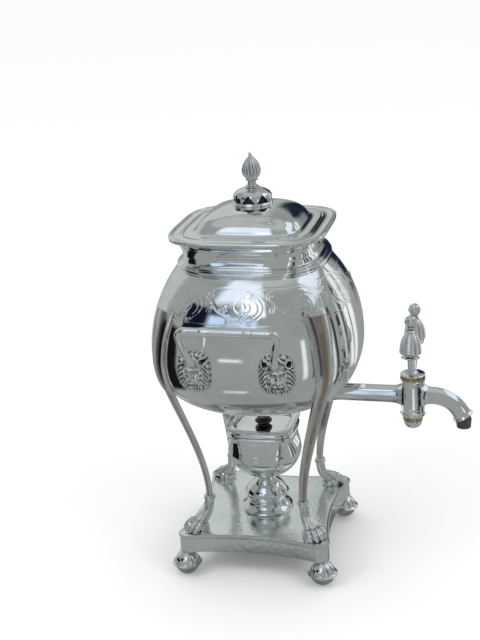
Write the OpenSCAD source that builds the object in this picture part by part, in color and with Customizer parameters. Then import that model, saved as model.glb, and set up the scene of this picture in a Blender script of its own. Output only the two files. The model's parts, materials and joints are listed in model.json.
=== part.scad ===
// Silver tea urn on a square plinth: cushion body on four strap legs with
// lion paws, lift-off lid, plug tap with a forked key, and a spirit lamp.
// Origin: on the urn's upright axis, on the plane that the feet rest on.
// +Z is up, +X points at the tap, and the two handles are on -Y and +Y.

/* [Plinth and feet] */
// Width of the plinth over its rounded corners
plinth_w = 148; // [136:1:164]
// Height of the plinth wall
plinth_h = 18.2; // [16:0.2:26]
// How far each side of the plinth bows inward
side_bow = 8.5; // [5:0.5:11]
// Radius of the plinth's rounded corners
plinth_corner_r = 11; // [10:0.5:13]
// Height of the ball feet under the plinth
foot_h = 25; // [22:0.5:30]
// Radius of a foot's equator flange
foot_flange_r = 14.2; // [13:0.1:16]

/* [Body] */
// Width of the body at its widest
body_w = 195; // [186:1:204]
// Height of the widest line above the plinth
body_lift = 178.8; // [170:0.2:190]
// Depth of the body below its widest line
body_drop = 66; // [60:1:70]
// Rise of the shoulder from the widest line to the neck
shoulder_rise = 79; // [75:1:82]
// Thickness of the sheet metal
sheet = 1.6; // [1.2:0.1:2]

/* [Neck, rim and lid] */
// Height of the neck between the shoulder and the rim
neck_h = 29; // [26:1:36]
// Width of the neck at its waist
waist_w = 122; // [118:1:126]
// Width of the rim over its bead
rim_w = 144; // [140:1:150]
// Width of the flat border round the lid
border_w = 11; // [10:0.5:12]
// Rise of the lid's cushion above the rim
lid_rise = 19.5; // [16:0.5:26]

/* [Finial] */
// Height of the vent cap on the lid
vent_h = 14; // [12:0.5:18]
// Radius of the vent cap
vent_r = 18; // [16:0.5:20]
// Height of the finial over the vent cap
finial_h = 33.1; // [28:0.5:38]
// Widest radius of the finial bud
bud_r = 8.8; // [7:0.1:10]

/* [Legs] */
// How far an ankle stands in from its ball foot, along the diagonal
ankle_set = 29; // [26:0.5:31]
// Height of an ankle above the plinth
ankle_h = 27.8; // [24:0.2:32]
// Width of a leg strap at its top
strap_top_w = 24; // [20:0.5:26]
// Thickness of a leg strap
strap_t = 3.4; // [2.6:0.1:4]

/* [Handles] */
// Distance between the two masks of a handle
mask_gap = 74; // [70:1:80]
// Radius of the handle's bar
bar_r = 4; // [3.2:0.1:5]
// How far the bar stands in front of the widest line
bar_reach = 21; // [18:0.5:28]
// Height of the bar above the widest line
bar_lift = 47.5; // [44:0.5:52]

/* [Tap] */
// Distance of the tap's barrel from the axis
barrel_at = 145; // [138:1:152]
// Height of the tap's tube above the body's bottom
tap_rise = 14; // [12:0.5:18]
// Radius of the tap's water way
way_r = 4.2; // [3:0.1:4.6]
// Distance between the two knobs of the tap's key
key_w = 44; // [38:1:50]

/* [Lamp] */
// Width of the lamp's bowl
lamp_w = 72; // [66:1:76]
// Width of the lamp's square cover
cover_w = 67; // [62:1:70]
// Radius of the lamp's foot
lamp_foot_r = 22; // [20:0.5:24]

/* [Hidden] */

// Fits
running_gap = 0.05;
seat_gap = 0.3;
hole_gap = 0.1;

// Smoothness of round pieces and of rounded-square rings
$fn = 48;
corner_steps = 7;

silver = "#c8ccd0";
worn_silver = "#b39a84";
brass = "#b59a4a";
ebony = "#16130f";
dark_metal = "#3a3c3e";
cotton = "#e8e2d2";

// Heights
plinth_top = foot_h + plinth_h;
widest_z = plinth_top + body_lift;
shoulder_z = widest_z + shoulder_rise;
rim_z = shoulder_z + neck_h;
rim_t = 3.4;
rim_top = rim_z + rim_t;
lid_top = rim_top + lid_rise;
vent_top = lid_top + vent_h;
finial_top = vent_top + finial_h;
body_bottom = widest_z - body_drop;
tap_z = body_bottom + tap_rise;

// ---------------------------------------------------------------- helpers

// Points round a square of the given half width with rounded corners
function ring(half, r, z) = [
    for (q = [0:3], s = [0:corner_steps])
        let (
            a = 90 * q + 90 * s / corner_steps,
            c = half - r,
            sx = (q == 0 || q == 3) ? 1 : -1,
            sy = (q < 2) ? 1 : -1
        )
        [sx * c + r * cos(a), sy * c + r * sin(a), z]
];

// Skin through a list of rings, capped at both ends or closed on itself
module skin(rings, closed = false) {
    n = len(rings[0]);
    m = len(rings);
    last = closed ? m - 1 : m - 2;
    sides = [
        for (i = [0:last], j = [0:n - 1])
            let (a = i * n + j, b = i * n + (j + 1) % n,
                 c = ((i + 1) % m) * n + j, d = ((i + 1) % m) * n + (j + 1) % n)
            each [[a, c, b], [b, c, d]]
    ];
    caps = closed ? [] : [[for (j = [0:n - 1]) j], [for (j = [0:n - 1]) m * n - 1 - j]];
    polyhedron(points = [for (r = rings) each r], faces = concat(sides, caps));
}

// Square with rounded corners, as a plan
module rounded_square(half, r) {
    square([2 * half, 2 * (half - r)], center = true);
    square([2 * (half - r), 2 * half], center = true);
    for (x = [-1, 1], y = [-1, 1]) {
        translate([x * (half - r), y * (half - r)]) circle(r);
    }
}

// Flat frame between two rounded squares
module square_frame(outer, outer_r, inner, inner_r, h) {
    linear_extrude(h) {
        difference() {
            rounded_square(outer, outer_r);
            rounded_square(inner, inner_r);
        }
    }
}

// Round rod between two points
module rod(a, b, r) {
    v = b - a;
    translate(a) {
        rotate([0, acos(v[2] / norm(v)), atan2(v[1], v[0])]) cylinder(h = norm(v), r = r);
    }
}

// Hexagon nut with a bore, standing on z = 0
module hex_nut(across, bore_r, h) {
    difference() {
        cylinder(h = h, r = across / sqrt(3), $fn = 6);
        translate([0, 0, -1]) cylinder(h = h + 2, r = bore_r);
    }
}

// Place on the diagonal of corner n: 0 back right, 1 back left, 2 front left, 3 front right
module on_corner(n) {
    rotate([0, 0, 45 + 90 * n]) children();
}

// Corner shorthand: the sign pair of a named corner
FRONT_LEFT = 2;
FRONT_RIGHT = 3;
BACK_LEFT = 1;
BACK_RIGHT = 0;

// ----------------------------------------------------------------- plinth

plinth_half = plinth_w / 2;
plinth_c = plinth_half - plinth_corner_r;
bow_r = (plinth_c * plinth_c + side_bow * side_bow) / (2 * side_bow);
bead_t = 1.2;
bead_h = 2.8;
foot_at = (plinth_c + 3.5) * sqrt(2);
stud_r = 1.8;
lug_r = 7.5;
paw_nut_across = 7;
lug_gap = 2.4;
paw_stud_at = foot_at - lug_r - lug_gap - paw_nut_across / sqrt(3);
paw_stud_r = 2;
socket_stud_r = 3;

// Plan of the plinth with bowed-in sides, grown or shrunk by an amount
module plinth_plan(grow) {
    difference() {
        union() {
            square([2 * plinth_c, 2 * (plinth_half + grow)], center = true);
            square([2 * (plinth_half + grow), 2 * plinth_c], center = true);
        }
        for (a = [0, 90, 180, 270]) {
            rotate([0, 0, a]) {
                translate([plinth_half - side_bow + bow_r, 0]) circle(bow_r - grow, $fn = 200);
            }
        }
    }
    for (x = [-1, 1], y = [-1, 1]) {
        translate([x * plinth_c, y * plinth_c]) circle(plinth_corner_r + grow);
    }
}

module plinth() {
    color(silver) {
        difference() {
            translate([0, 0, foot_h]) linear_extrude(plinth_h) plinth_plan(-bead_t);
            difference() {
                translate([0, 0, foot_h - 1]) {
                    linear_extrude(plinth_h + 1 - sheet) plinth_plan(-bead_t - sheet);
                }
                for (n = [0:3]) {
                    on_corner(n) {
                        translate([foot_at, 0, foot_h + sheet]) cylinder(h = plinth_h, r = lug_r);
                    }
                }
            }
            for (n = [0:3]) {
                on_corner(n) {
                    translate([foot_at, 0, foot_h - 1]) {
                        cylinder(h = stud_h + 1 + hole_gap, r = stud_r + hole_gap);
                    }
                    translate([paw_stud_at, 0, foot_h]) {
                        cylinder(h = plinth_h + 1, r = paw_stud_r + hole_gap);
                    }
                }
            }
            translate([0, 0, foot_h]) cylinder(h = plinth_h + 1, r = socket_stud_r + hole_gap);
        }
    }
}

module plinth_bead() {
    color(silver) {
        translate([0, 0, plinth_top - bead_h]) {
            linear_extrude(bead_h) {
                difference() {
                    plinth_plan(0);
                    plinth_plan(-bead_t);
                }
            }
        }
    }
}

module base_plate() {
    color(silver) {
        difference() {
            translate([0, 0, foot_h]) {
                linear_extrude(sheet - hole_gap) plinth_plan(-bead_t - sheet - hole_gap);
            }
            for (n = [0:3]) {
                on_corner(n) {
                    translate([foot_at, 0, foot_h - 1]) cylinder(h = sheet + 2, r = stud_r + hole_gap);
                }
            }
        }
    }
}

// ------------------------------------------------------------------- feet

foot_r = foot_h * 0.475;
foot_rest_r = 3;
foot_neck_r = 5;
stud_h = 9;

module foot() {
    arc = [for (a = [-75:15:-15]) [foot_r * cos(a), foot_r + foot_r * sin(a)]];
    dome = [for (a = [15:15:60]) [foot_r * cos(a), foot_r + foot_r * sin(a)]];
    flange = [
        [foot_r, foot_r - 1.2], [foot_flange_r, foot_r - 0.5],
        [foot_flange_r, foot_r + 0.5], [foot_r, foot_r + 1.2]
    ];
    neck = [[foot_neck_r, foot_r * 1.95], [foot_neck_r, foot_h], [stud_r, foot_h],
            [stud_r, foot_h + stud_h], [0, foot_h + stud_h]];
    color(silver) {
        rotate_extrude() polygon(concat([[0, 0], [foot_rest_r, 0]], arc, flange, dome, neck));
    }
}

module foot_on(n) {
    on_corner(n) translate([foot_at, 0, 0]) foot();
}

module foot_front_left() { foot_on(FRONT_LEFT); }
module foot_front_right() { foot_on(FRONT_RIGHT); }
module foot_back_left() { foot_on(BACK_LEFT); }
module foot_back_right() { foot_on(BACK_RIGHT); }

// ------------------------------------------------------------------- paws

ankle_z = plinth_top + ankle_h;
ankle_reach = foot_at - ankle_set;
ankle_r = 4.6;
collar_r = 6;
collar_h = 4;
instep_r = 7.4;
instep_reach = ankle_reach + 14;
toe_r = 4.2;
toe_reach = instep_reach + 12.5;
paw_nut_h = 3;
paw_stud_h = sheet + paw_nut_h + 0.8;

heel_h = 14;
toe_h = 3;
toe_y = [-9, -3.2, 3.2, 9];
sole_cut = 2 * toe_reach;

// Lion's paw: ankle, instep and a row of four toes, flat underneath
module paw() {
    heel = [ankle_reach + 2, 0, plinth_top + heel_h];
    color(silver) {
        difference() {
            union() {
                hull() {
                    translate([ankle_reach, 0, ankle_z - 3]) sphere(ankle_r, $fn = 14);
                    translate(heel) sphere(ankle_r, $fn = 14);
                }
                hull() {
                    translate(heel) sphere(ankle_r, $fn = 14);
                    translate([instep_reach, 0, plinth_top + 6]) sphere(instep_r, $fn = 14);
                }
                hull() {
                    translate([instep_reach, 0, plinth_top + 4]) sphere(instep_r, $fn = 14);
                    for (y = [-8, 8]) {
                        translate([toe_reach - 5, y, plinth_top + toe_h]) sphere(toe_r, $fn = 14);
                    }
                }
                for (y = toe_y) {
                    translate([toe_reach - abs(y) * 0.28, y, plinth_top + toe_h]) {
                        sphere(toe_r, $fn = 16);
                    }
                }
            }
            translate([0, -sole_cut / 2, plinth_top - sole_cut]) cube(sole_cut);
        }
        translate([paw_stud_at, 0, plinth_top - paw_stud_h]) {
            cylinder(h = paw_stud_h + toe_h, r = paw_stud_r);
        }
        translate([ankle_reach, 0, ankle_z]) cylinder(h = collar_h, r = collar_r);
    }
}

module paw_on(n) {
    on_corner(n) paw();
}

module paw_front_left() { paw_on(FRONT_LEFT); }
module paw_front_right() { paw_on(FRONT_RIGHT); }
module paw_back_left() { paw_on(BACK_LEFT); }
module paw_back_right() { paw_on(BACK_RIGHT); }

module paw_nuts() {
    color(brass) {
        for (n = [0:3]) {
            on_corner(n) {
                translate([paw_stud_at, 0, plinth_top - sheet - paw_nut_h]) {
                    hex_nut(paw_nut_across, paw_stud_r + running_gap, paw_nut_h);
                }
            }
        }
    }
}

// ------------------------------------------------------------------- body

upper_bulge = 1.95;
lower_bulge = 2.4;
side_bulge = 2.2;
shoulder_reach = shoulder_rise * 1.392;
round_mid = 0.77;
round_neck = 0.62;
round_low = 0.87;
lower_rings = 9;
upper_rings = 8;

// Half width of the body, or of its inside, at height z
function body_half(z, inset = 0) =
    let (
        up = z > widest_z,
        t = abs(z - widest_z) / ((up ? shoulder_reach : body_drop) - inset)
    )
    (body_w / 2 - inset) * pow(1 - pow(t, up ? upper_bulge : lower_bulge), 1 / side_bulge);

// Share of the half width that is corner radius: rounder low down, squarer at the neck
function body_round(z) =
    z > widest_z
        ? round_mid + (round_neck - round_mid) * (z - widest_z) / shoulder_rise
        : round_mid + (round_low - round_mid) * (widest_z - z) / body_drop;

// Distance of the body's skin from the axis along a diagonal
function body_diagonal(z) = body_half(z) * ((1 - body_round(z)) * sqrt(2) + body_round(z));

function body_ring(z, inset, grow = 0) =
    let (half = body_half(z, inset) + grow)
    ring(half, half * body_round(z), z);

// Rings of the lower half, from the bottom up to the widest line
function bowl_rings(inset, grow = 0) = [
    for (i = [0:lower_rings])
        body_ring(widest_z - (body_drop - inset) * sin(80 * (1 - i / lower_rings)), inset, grow)
];

// Rings of the upper half, from the widest line up to the neck
function shoulder_rings(inset, grow = 0, first = 0) = [
    for (i = [first:upper_rings])
        body_ring(widest_z + shoulder_rise * i / upper_rings, inset, grow)
];

function reversed(list) = [for (i = [len(list) - 1:-1:0]) list[i]];

// Solid that fills the body's outline, grown by a small gap
module body_fill(grow) {
    skin(concat(bowl_rings(0, grow), shoulder_rings(0, grow, 1)));
}

neck_half = body_half(shoulder_z);
neck_corner = neck_half * body_round(shoulder_z);

// Lower half of the body, open at the widest line
module body() {
    color(silver) {
        difference() {
            skin(concat(bowl_rings(0), reversed(bowl_rings(sheet))));
            translate([0, 0, tap_z]) rotate([0, 90, 0]) cylinder(h = body_w, r = spigot_r + hole_gap);
        }
    }
}

// Upper half of the body, soldered on at the widest line
module shoulder() {
    color(silver) {
        difference() {
            skin(concat(shoulder_rings(0), reversed(shoulder_rings(sheet))), closed = true);
            for (x = [-1, 1], y = [-1, 1]) {
                translate([x * pin_x, y * body_w / 4, pin_z]) {
                    rotate([-90 * y, 0, 0]) cylinder(h = body_w, r = pin_r + hole_gap);
                }
            }
        }
    }
}

// --------------------------------------------------------- neck and rim

waist_half = waist_w / 2;
waist_corner = waist_half * 0.55;
rim_half = rim_w / 2;
rim_corner = rim_half * 0.55;
rim_bead_w = 2.2;
plate_half = rim_half - rim_bead_w;
plate_corner = rim_corner - rim_bead_w;
neck_top_half = plate_half - 1;
opening_half = plate_half - border_w;
opening_corner = plate_corner - border_w + 2;
ledge_w = 2.6;
ledge_t = 1.4;
moulding_h = 5;

// Outline of the neck: half width, corner radius and height of each ring
function neck_profile(inset) = [
    for (p = [
        [neck_half, neck_corner, 0],
        [neck_half, neck_corner, moulding_h],
        [(neck_half + waist_half) / 2 - 0.8, (neck_corner + waist_corner) / 2, moulding_h + 2.5],
        [waist_half + 0.4, waist_corner + 0.5, neck_h * 0.34],
        [waist_half, waist_corner, neck_h * 0.5],
        [waist_half + 1, waist_corner, neck_h * 0.68],
        [waist_half + 3.8, waist_corner + 1, neck_h * 0.84],
        [neck_top_half - 1.8, plate_corner - 1.8, neck_h * 0.96],
        [neck_top_half, plate_corner - 1, neck_h]
    ]) ring(p[0] - inset, p[1] - inset, shoulder_z + p[2])
];

module neck() {
    color(silver) skin(concat(neck_profile(0), reversed(neck_profile(sheet))), closed = true);
}

module neck_moulding() {
    w = [0, 1.6, 2.2, 1.6, 1.1, 0.5, 0];
    h = [0, 0.5, 1.6, 2.6, 3, 3.8, 3.8];
    rings = [
        for (i = [0:len(w) - 1])
            ring(neck_half + w[i] + 0.01, neck_corner + w[i], shoulder_z + 0.8 + h[i])
    ];
    color(silver) skin(rings, closed = true);
}

module rim() {
    color(silver) {
        difference() {
            translate([0, 0, rim_z]) linear_extrude(rim_t) rounded_square(plate_half, plate_corner);
            translate([0, 0, rim_z + ledge_t]) {
                linear_extrude(rim_t) rounded_square(opening_half, opening_corner);
            }
            translate([0, 0, rim_z - 1]) {
                linear_extrude(rim_t + 2) rounded_square(opening_half - ledge_w, opening_corner - ledge_w);
            }
        }
    }
}

module rim_bead() {
    color(silver) {
        translate([0, 0, rim_z + 0.4]) {
            square_frame(rim_half, rim_corner, plate_half, plate_corner, rim_t - 0.2);
        }
    }
}

// -------------------------------------------------------------------- lid

lid_half = opening_half - seat_gap;
lid_corner = opening_corner - seat_gap;
lid_seat = rim_z + ledge_t + seat_gap;
bezel_half = opening_half - ledge_w - seat_gap;
bezel_corner = opening_corner - ledge_w - seat_gap;
bezel_drop = 7;
bezel_t = 1.4;
finial_hole_r = 2.4;

// Outline of the lid from its edge in to the vent: share of the half width, rise and corner share
edge_round = lid_corner / lid_half;
lid_steps = [
    [1, 0, edge_round], [1, 0.075, edge_round], [0.93, 0.085, edge_round], [0.885, 0.03, edge_round],
    [0.87, 0.09, 0.49], [0.845, 0.3, 0.5], [0.79, 0.53, 0.52], [0.7, 0.74, 0.57], [0.57, 0.89, 0.66],
    [0.42, 0.97, 0.82], [0.29, 1, 0.93]
];

function lid_ring(p, inset, drop) =
    let (half = lid_half * p[0] - inset)
    ring(half, half * p[2], max(lid_seat, rim_top + lid_rise * p[1] - drop));

module lid() {
    outer = [for (p = lid_steps) lid_ring(p, 0, p[1] == 0 ? rim_top : 0)];
    inner = [for (i = [2:len(lid_steps) - 1]) lid_ring(lid_steps[i], sheet * 1.2, sheet)];
    hub = ring(finial_hole_r * 2, finial_hole_r * 1.9, lid_top);
    hub_in = ring(finial_hole_r * 2, finial_hole_r * 1.9, lid_top - sheet);
    color(silver) {
        difference() {
            skin(concat(outer, [hub], [hub_in], reversed(inner)), closed = true);
            translate([0, 0, rim_z]) cylinder(h = lid_rise * 3, r = finial_hole_r);
        }
    }
}

module lid_bezel() {
    color(silver) {
        translate([0, 0, lid_seat - bezel_drop]) {
            square_frame(bezel_half, bezel_corner, bezel_half - bezel_t, bezel_corner - bezel_t, bezel_drop);
        }
    }
}

// ------------------------------------------------------- vent and finial

tooth_count = 8;
tooth_h = 7.5;
tooth_post = 1.4;
vent_wall = 1.4;
tooth_half = (vent_r - vent_wall) * sin(180 / tooth_count) - tooth_post / 2;
disc_r = bud_r * 1.05;

// Domed cap with a ring of pointed openings round its foot
module vent_cap() {
    outer = [
        [finial_hole_r, 0], [vent_r - vent_wall, 0], [vent_r - vent_wall, tooth_h + 1],
        [vent_r * 0.8, vent_h * 0.72], [vent_r * 0.5, vent_h * 0.86], [finial_hole_r, vent_h * 0.88],
        [finial_hole_r, vent_h], [disc_r, vent_h], [disc_r, vent_h - 1.2], [vent_r * 0.56, vent_h * 0.94],
        [vent_r * 0.84, vent_h * 0.84], [vent_r, tooth_h + 1.8], [vent_r + 0.6, 1.2], [vent_r + 0.6, -1.2],
        [finial_hole_r, -1.2]
    ];
    color(silver) {
        translate([0, 0, lid_top + 1.2]) {
            difference() {
                rotate_extrude() polygon(outer);
                for (i = [0:tooth_count - 1]) {
                    rotate([0, 0, i * 360 / tooth_count]) {
                        translate([vent_r - 4, 0, 1.2]) {
                            rotate([90, 0, 90]) linear_extrude(8) {
                                polygon([[-tooth_half, 0], [tooth_half, 0], [0, tooth_h]]);
                            }
                        }
                    }
                }
            }
        }
    }
}

module finial() {
    base = vent_top + 1.2;
    height = finial_top - base;
    bolt_r = finial_hole_r - hole_gap;
    bolt_bottom = lid_top - sheet - 5;
    color(silver) {
        rotate_extrude() {
            polygon([
                [0, bolt_bottom], [bolt_r, bolt_bottom], [bolt_r, base], [bud_r * 0.6, base],
                [bud_r * 0.5, base + height * 0.05], [bud_r * 0.42, base + height * 0.16],
                [bud_r * 0.62, base + height * 0.2], [bud_r * 0.9, base + height * 0.28],
                [bud_r, base + height * 0.4], [bud_r * 0.94, base + height * 0.52],
                [bud_r * 0.72, base + height * 0.64], [bud_r * 0.42, base + height * 0.75],
                [bud_r * 0.26, base + height * 0.84], [bud_r * 0.16, base + height * 0.93], [0, finial_top]
            ]);
        }
    }
}

module finial_nut() {
    color(brass) {
        translate([0, 0, lid_top - sheet - 3]) hex_nut(9, finial_hole_r - hole_gap + running_gap, 3);
    }
}

// ------------------------------------------------------------------- legs

strap_rise = 47;
leave_drop = 30;
leg_top_z = widest_z + strap_rise;
leave_z = widest_z - leave_drop;
foot_z = ankle_z + collar_h;
strap_mid_w = 15;
strap_low_w = 7;
strap_edge = 1.2;
ankle_pull = 38;
leave_pull = [9, 27];
strap_gap = 0.15;
on_body_steps = 7;
free_steps = 9;

function bezier(p0, p1, p2, p3, t) =
    pow(1 - t, 3) * p0 + 3 * t * pow(1 - t, 2) * p1 + 3 * t * t * (1 - t) * p2 + pow(t, 3) * p3;

// Where the strap's inner face lies: distance along the diagonal, and height
function leg_on_body(z) = [body_diagonal(z) + strap_gap, z];

leave = leg_on_body(leave_z);
leg_path = [
    for (i = [0:free_steps - 1])
        bezier([ankle_reach - strap_t / 2, foot_z], [ankle_reach - strap_t / 2, foot_z + ankle_pull],
               leave - leave_pull, leave, i / free_steps),
    for (i = [0:on_body_steps]) leg_on_body(leave_z + (leg_top_z - leave_z) * i / on_body_steps)
];

function strap_width(z) =
    z > leave_z
        ? strap_mid_w + (strap_top_w - strap_mid_w) * pow((z - leave_z) / (leg_top_z - leave_z), 1.4)
        : strap_low_w + (strap_mid_w - strap_low_w) * (z - foot_z) / (leave_z - foot_z);

// Section of the strap: a flat band with a raised reed along each edge
function strap_section(p, out, w) = [
    for (q = [
        [0, -w / 2], [strap_t, -w / 2], [strap_t, -w / 2 + strap_edge],
        [strap_t - 1, -w / 2 + 2 * strap_edge],
        [strap_t - 1, w / 2 - 2 * strap_edge], [strap_t, w / 2 - strap_edge], [strap_t, w / 2], [0, w / 2]
    ]) [p[0] + q[0] * out[0], q[1], p[1] + q[0] * out[1]]
];

module leg() {
    last = len(leg_path) - 1;
    sections = [
        for (i = [0:last])
            let (
                along = leg_path[min(i + 1, last)] - leg_path[max(i - 1, 0)],
                out = (i == 0) ? [1, 0] : [along[1], -along[0]] / norm(along)
            )
            strap_section(leg_path[i], out, strap_width(leg_path[i][1]))
    ];
    color(worn_silver) skin(sections);
}

module leg_front_left() { on_corner(FRONT_LEFT) leg(); }
module leg_front_right() { on_corner(FRONT_RIGHT) leg(); }
module leg_back_left() { on_corner(BACK_LEFT) leg(); }
module leg_back_right() { on_corner(BACK_RIGHT) leg(); }

// ------------------------------------------------------ handles and masks

mask_x = mask_gap / 2;
mask_rise = 1.5;
mask_z = widest_z + mask_rise;
pin_x = mask_x;
pin_over_mask = 13;
pin_z = mask_z + pin_over_mask;
pin_r = 2.2;
bar_y = body_w / 2 + bar_reach;
bar_z = widest_z + bar_lift;
bar_half = mask_x + 5;
arm_r = bar_r * 0.8;
pin_y = body_w / 2 + 8;
pin_in = body_w / 2 - 11;
pin_nut_h = 2.5;

// Handle on the +Y side: bar, two arms and the pins that go through the masks
module handle() {
    color(silver) {
        rod([-bar_half, bar_y, bar_z], [bar_half, bar_y, bar_z], bar_r);
        for (x = [-1, 1]) {
            top = [x * (bar_half - 2), bar_y, bar_z];
            knee = [x * (bar_half - 3), bar_y - 3, bar_z - 15];
            low = [x * pin_x, pin_y, pin_z];
            rod(top, knee, arm_r);
            translate(knee) sphere(arm_r + 0.3);
            rod(knee, low, arm_r);
            translate(low) sphere(arm_r + 0.3);
            rod(low, [x * pin_x, pin_in, pin_z], pin_r);
            translate([x * bar_half, bar_y, bar_z]) sphere(bar_r + 0.6);
        }
    }
}

module handle_back() { handle(); }
module handle_front() { rotate([0, 0, 180]) handle(); }

mask_tilt = 14;

// Lion's mask on the +Y, +X quarter: mane, face, muzzle and ears
module mask() {
    color(silver) {
        difference() {
            translate([mask_x, body_w / 2 - 4.5, mask_z]) {
                rotate([-90, 0, -mask_tilt]) {
                    hull() {
                        for (a = [0:45:315]) {
                            translate([10.5 * cos(a), -14 * sin(a), 0]) sphere(4.4, $fn = 14);
                        }
                    }
                    hull() {
                        translate([0, -4, 4]) sphere(8.4, $fn = 16);
                        translate([0, 4, 5]) sphere(6.4, $fn = 16);
                    }
                    hull() {
                        translate([-3, 7, 8]) sphere(4, $fn = 16);
                        translate([3, 7, 8]) sphere(4, $fn = 16);
                    }
                    for (x = [-1, 1]) {
                        translate([10.5 * x, -12.5, 3]) sphere(3.4, $fn = 16);
                    }
                }
            }
            body_fill(0.15);
            translate([pin_x, 0, pin_z]) rotate([-90, 0, 0]) cylinder(h = 200, r = pin_r + hole_gap);
            translate([pin_x, pin_y, pin_z]) sphere(arm_r + 0.3 + hole_gap);
            rod([pin_x, pin_y, pin_z], [bar_half - 3, bar_y - 3, bar_z - 15], arm_r + hole_gap);
        }
    }
}

module mask_back_right() { mask(); }
module mask_back_left() { mirror([1, 0, 0]) mask(); }
module mask_front_right() { mirror([0, 1, 0]) mask(); }
module mask_front_left() { mirror([1, 0, 0]) mirror([0, 1, 0]) mask(); }

// Where the body's inside wall lies along Y, at a sideways distance x and a height z
function inside_wall(x, z) =
    let (half = body_half(z, sheet), r = half * body_round(z))
    half - r + sqrt(r * r - pow(x - half + r, 2));

nut_across = 8;
nut_r = nut_across / sqrt(3);
wall_slack = 1.3;
nut_face = inside_wall(pin_x + nut_r, pin_z + nut_r) - wall_slack;

module handle_nuts() {
    color(brass) {
        for (x = [-1, 1], y = [-1, 1]) {
            translate([x * pin_x, y * nut_face, pin_z]) {
                rotate([90 * y, 0, 0]) hex_nut(nut_across, pin_r + running_gap, pin_nut_h);
            }
        }
    }
}

// -------------------------------------------------------------------- tap

spigot_r = 7;
tube_r = 8.8;
barrel_r = 11.4;
barrel_top = tap_z + 19.5;
barrel_bottom = tap_z - 20.5;
plug_top_r = 8;
plug_low_r = 6.4;
tube_end = barrel_at - barrel_r * 0.9;
spigot_in = 32;
ring_h = 3;

// Radius of the plug's seat at height z
function plug_r(z) =
    plug_low_r + (plug_top_r - plug_low_r) * (z - barrel_bottom) / (barrel_top - barrel_bottom);

module tap_tube() {
    color(silver) {
        difference() {
            union() {
                difference() {
                    union() {
                        translate([spigot_in, 0, tap_z]) {
                            rotate([0, 90, 0]) rotate([0, 0, 22.5]) {
                                cylinder(h = tube_end - spigot_in, r = tube_r, $fn = 8);
                            }
                        }
                        translate([tube_end - 10, 0, tap_z]) {
                            rotate([0, 90, 0]) rotate([0, 0, 22.5]) {
                                cylinder(h = 10, r1 = tube_r - 0.2, r2 = tube_r + 2.6, $fn = 8);
                            }
                        }
                    }
                    body_fill(0.1);
                }
                translate([spigot_in, 0, tap_z]) {
                    rotate([0, 90, 0]) cylinder(h = tube_end - spigot_in - 2, r = spigot_r);
                }
            }
            translate([0, 0, tap_z]) rotate([0, 90, 0]) cylinder(h = barrel_at, r = way_r);
            translate([barrel_at, 0, barrel_bottom]) {
                rotate([0, 0, 22.5]) cylinder(h = 60, r = barrel_r + 0.02, $fn = 8);
            }
        }
    }
}

strainer_r = spigot_r + 1.4;

// Domed cap with holes, pushed over the tube's end inside the body
module tap_strainer() {
    color(silver) {
        difference() {
            translate([spigot_in - 3, 0, tap_z]) rotate([0, 90, 0]) cylinder(h = 7, r = strainer_r);
            translate([spigot_in - 1.4, 0, tap_z]) {
                rotate([0, 90, 0]) cylinder(h = 10, r = spigot_r + running_gap);
            }
            for (a = [0:60:300]) {
                translate([spigot_in - 5, 0, tap_z]) {
                    rotate([a, 0, 0]) translate([0, 3.6, 0]) rotate([0, 90, 0]) cylinder(h = 6, r = 0.9);
                }
            }
            translate([spigot_in - 5, 0, tap_z]) rotate([0, 90, 0]) cylinder(h = 6, r = 0.9);
        }
    }
}

module tap_barrel() {
    color(silver) {
        difference() {
            translate([barrel_at, 0, barrel_bottom]) {
                rotate([0, 0, 22.5]) cylinder(h = barrel_top - barrel_bottom - ring_h, r = barrel_r, $fn = 8);
                cylinder(h = 4, r = barrel_r + 0.8);
                cylinder(h = barrel_top - barrel_bottom, r = barrel_r - 1.2);
            }
            translate([barrel_at, 0, barrel_bottom]) {
                cylinder(h = barrel_top - barrel_bottom, r1 = plug_r(barrel_bottom) + running_gap,
                         r2 = plug_r(barrel_top) + running_gap);
            }
            translate([0, 0, tap_z]) rotate([0, 90, 0]) cylinder(h = 2 * barrel_at, r = way_r);
        }
    }
}

module barrel_ring() {
    color(brass) {
        translate([barrel_at, 0, barrel_top - ring_h]) {
            difference() {
                cylinder(h = ring_h, r = barrel_r + 0.4);
                translate([0, 0, -1]) cylinder(h = ring_h + 2, r = barrel_r - 1.2);
            }
        }
    }
}

spout_r = 8.2;
bend_r = 30;
bend = 60;
spout_start = barrel_at + barrel_r * 0.9;
bend_at = spout_start + 8;
lip_h = 5.5;
lip_r = 10;
spout_bore = 5;

// Frame of the spout's lip: its centre, with +Z along the flow
module at_lip() {
    translate([bend_at, 0, tap_z - bend_r]) {
        rotate([0, bend, 0]) translate([0, 0, bend_r]) rotate([0, 90, 0]) children();
    }
}

// Curved stretch of the spout, as a round bar of a given radius
module spout_bend(r) {
    translate([bend_at, 0, tap_z - bend_r]) {
        rotate([90, 0, 0]) rotate([0, 0, 90 - bend]) {
            rotate_extrude(angle = bend, $fn = 72) translate([bend_r, 0]) circle(r);
        }
    }
}

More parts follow.
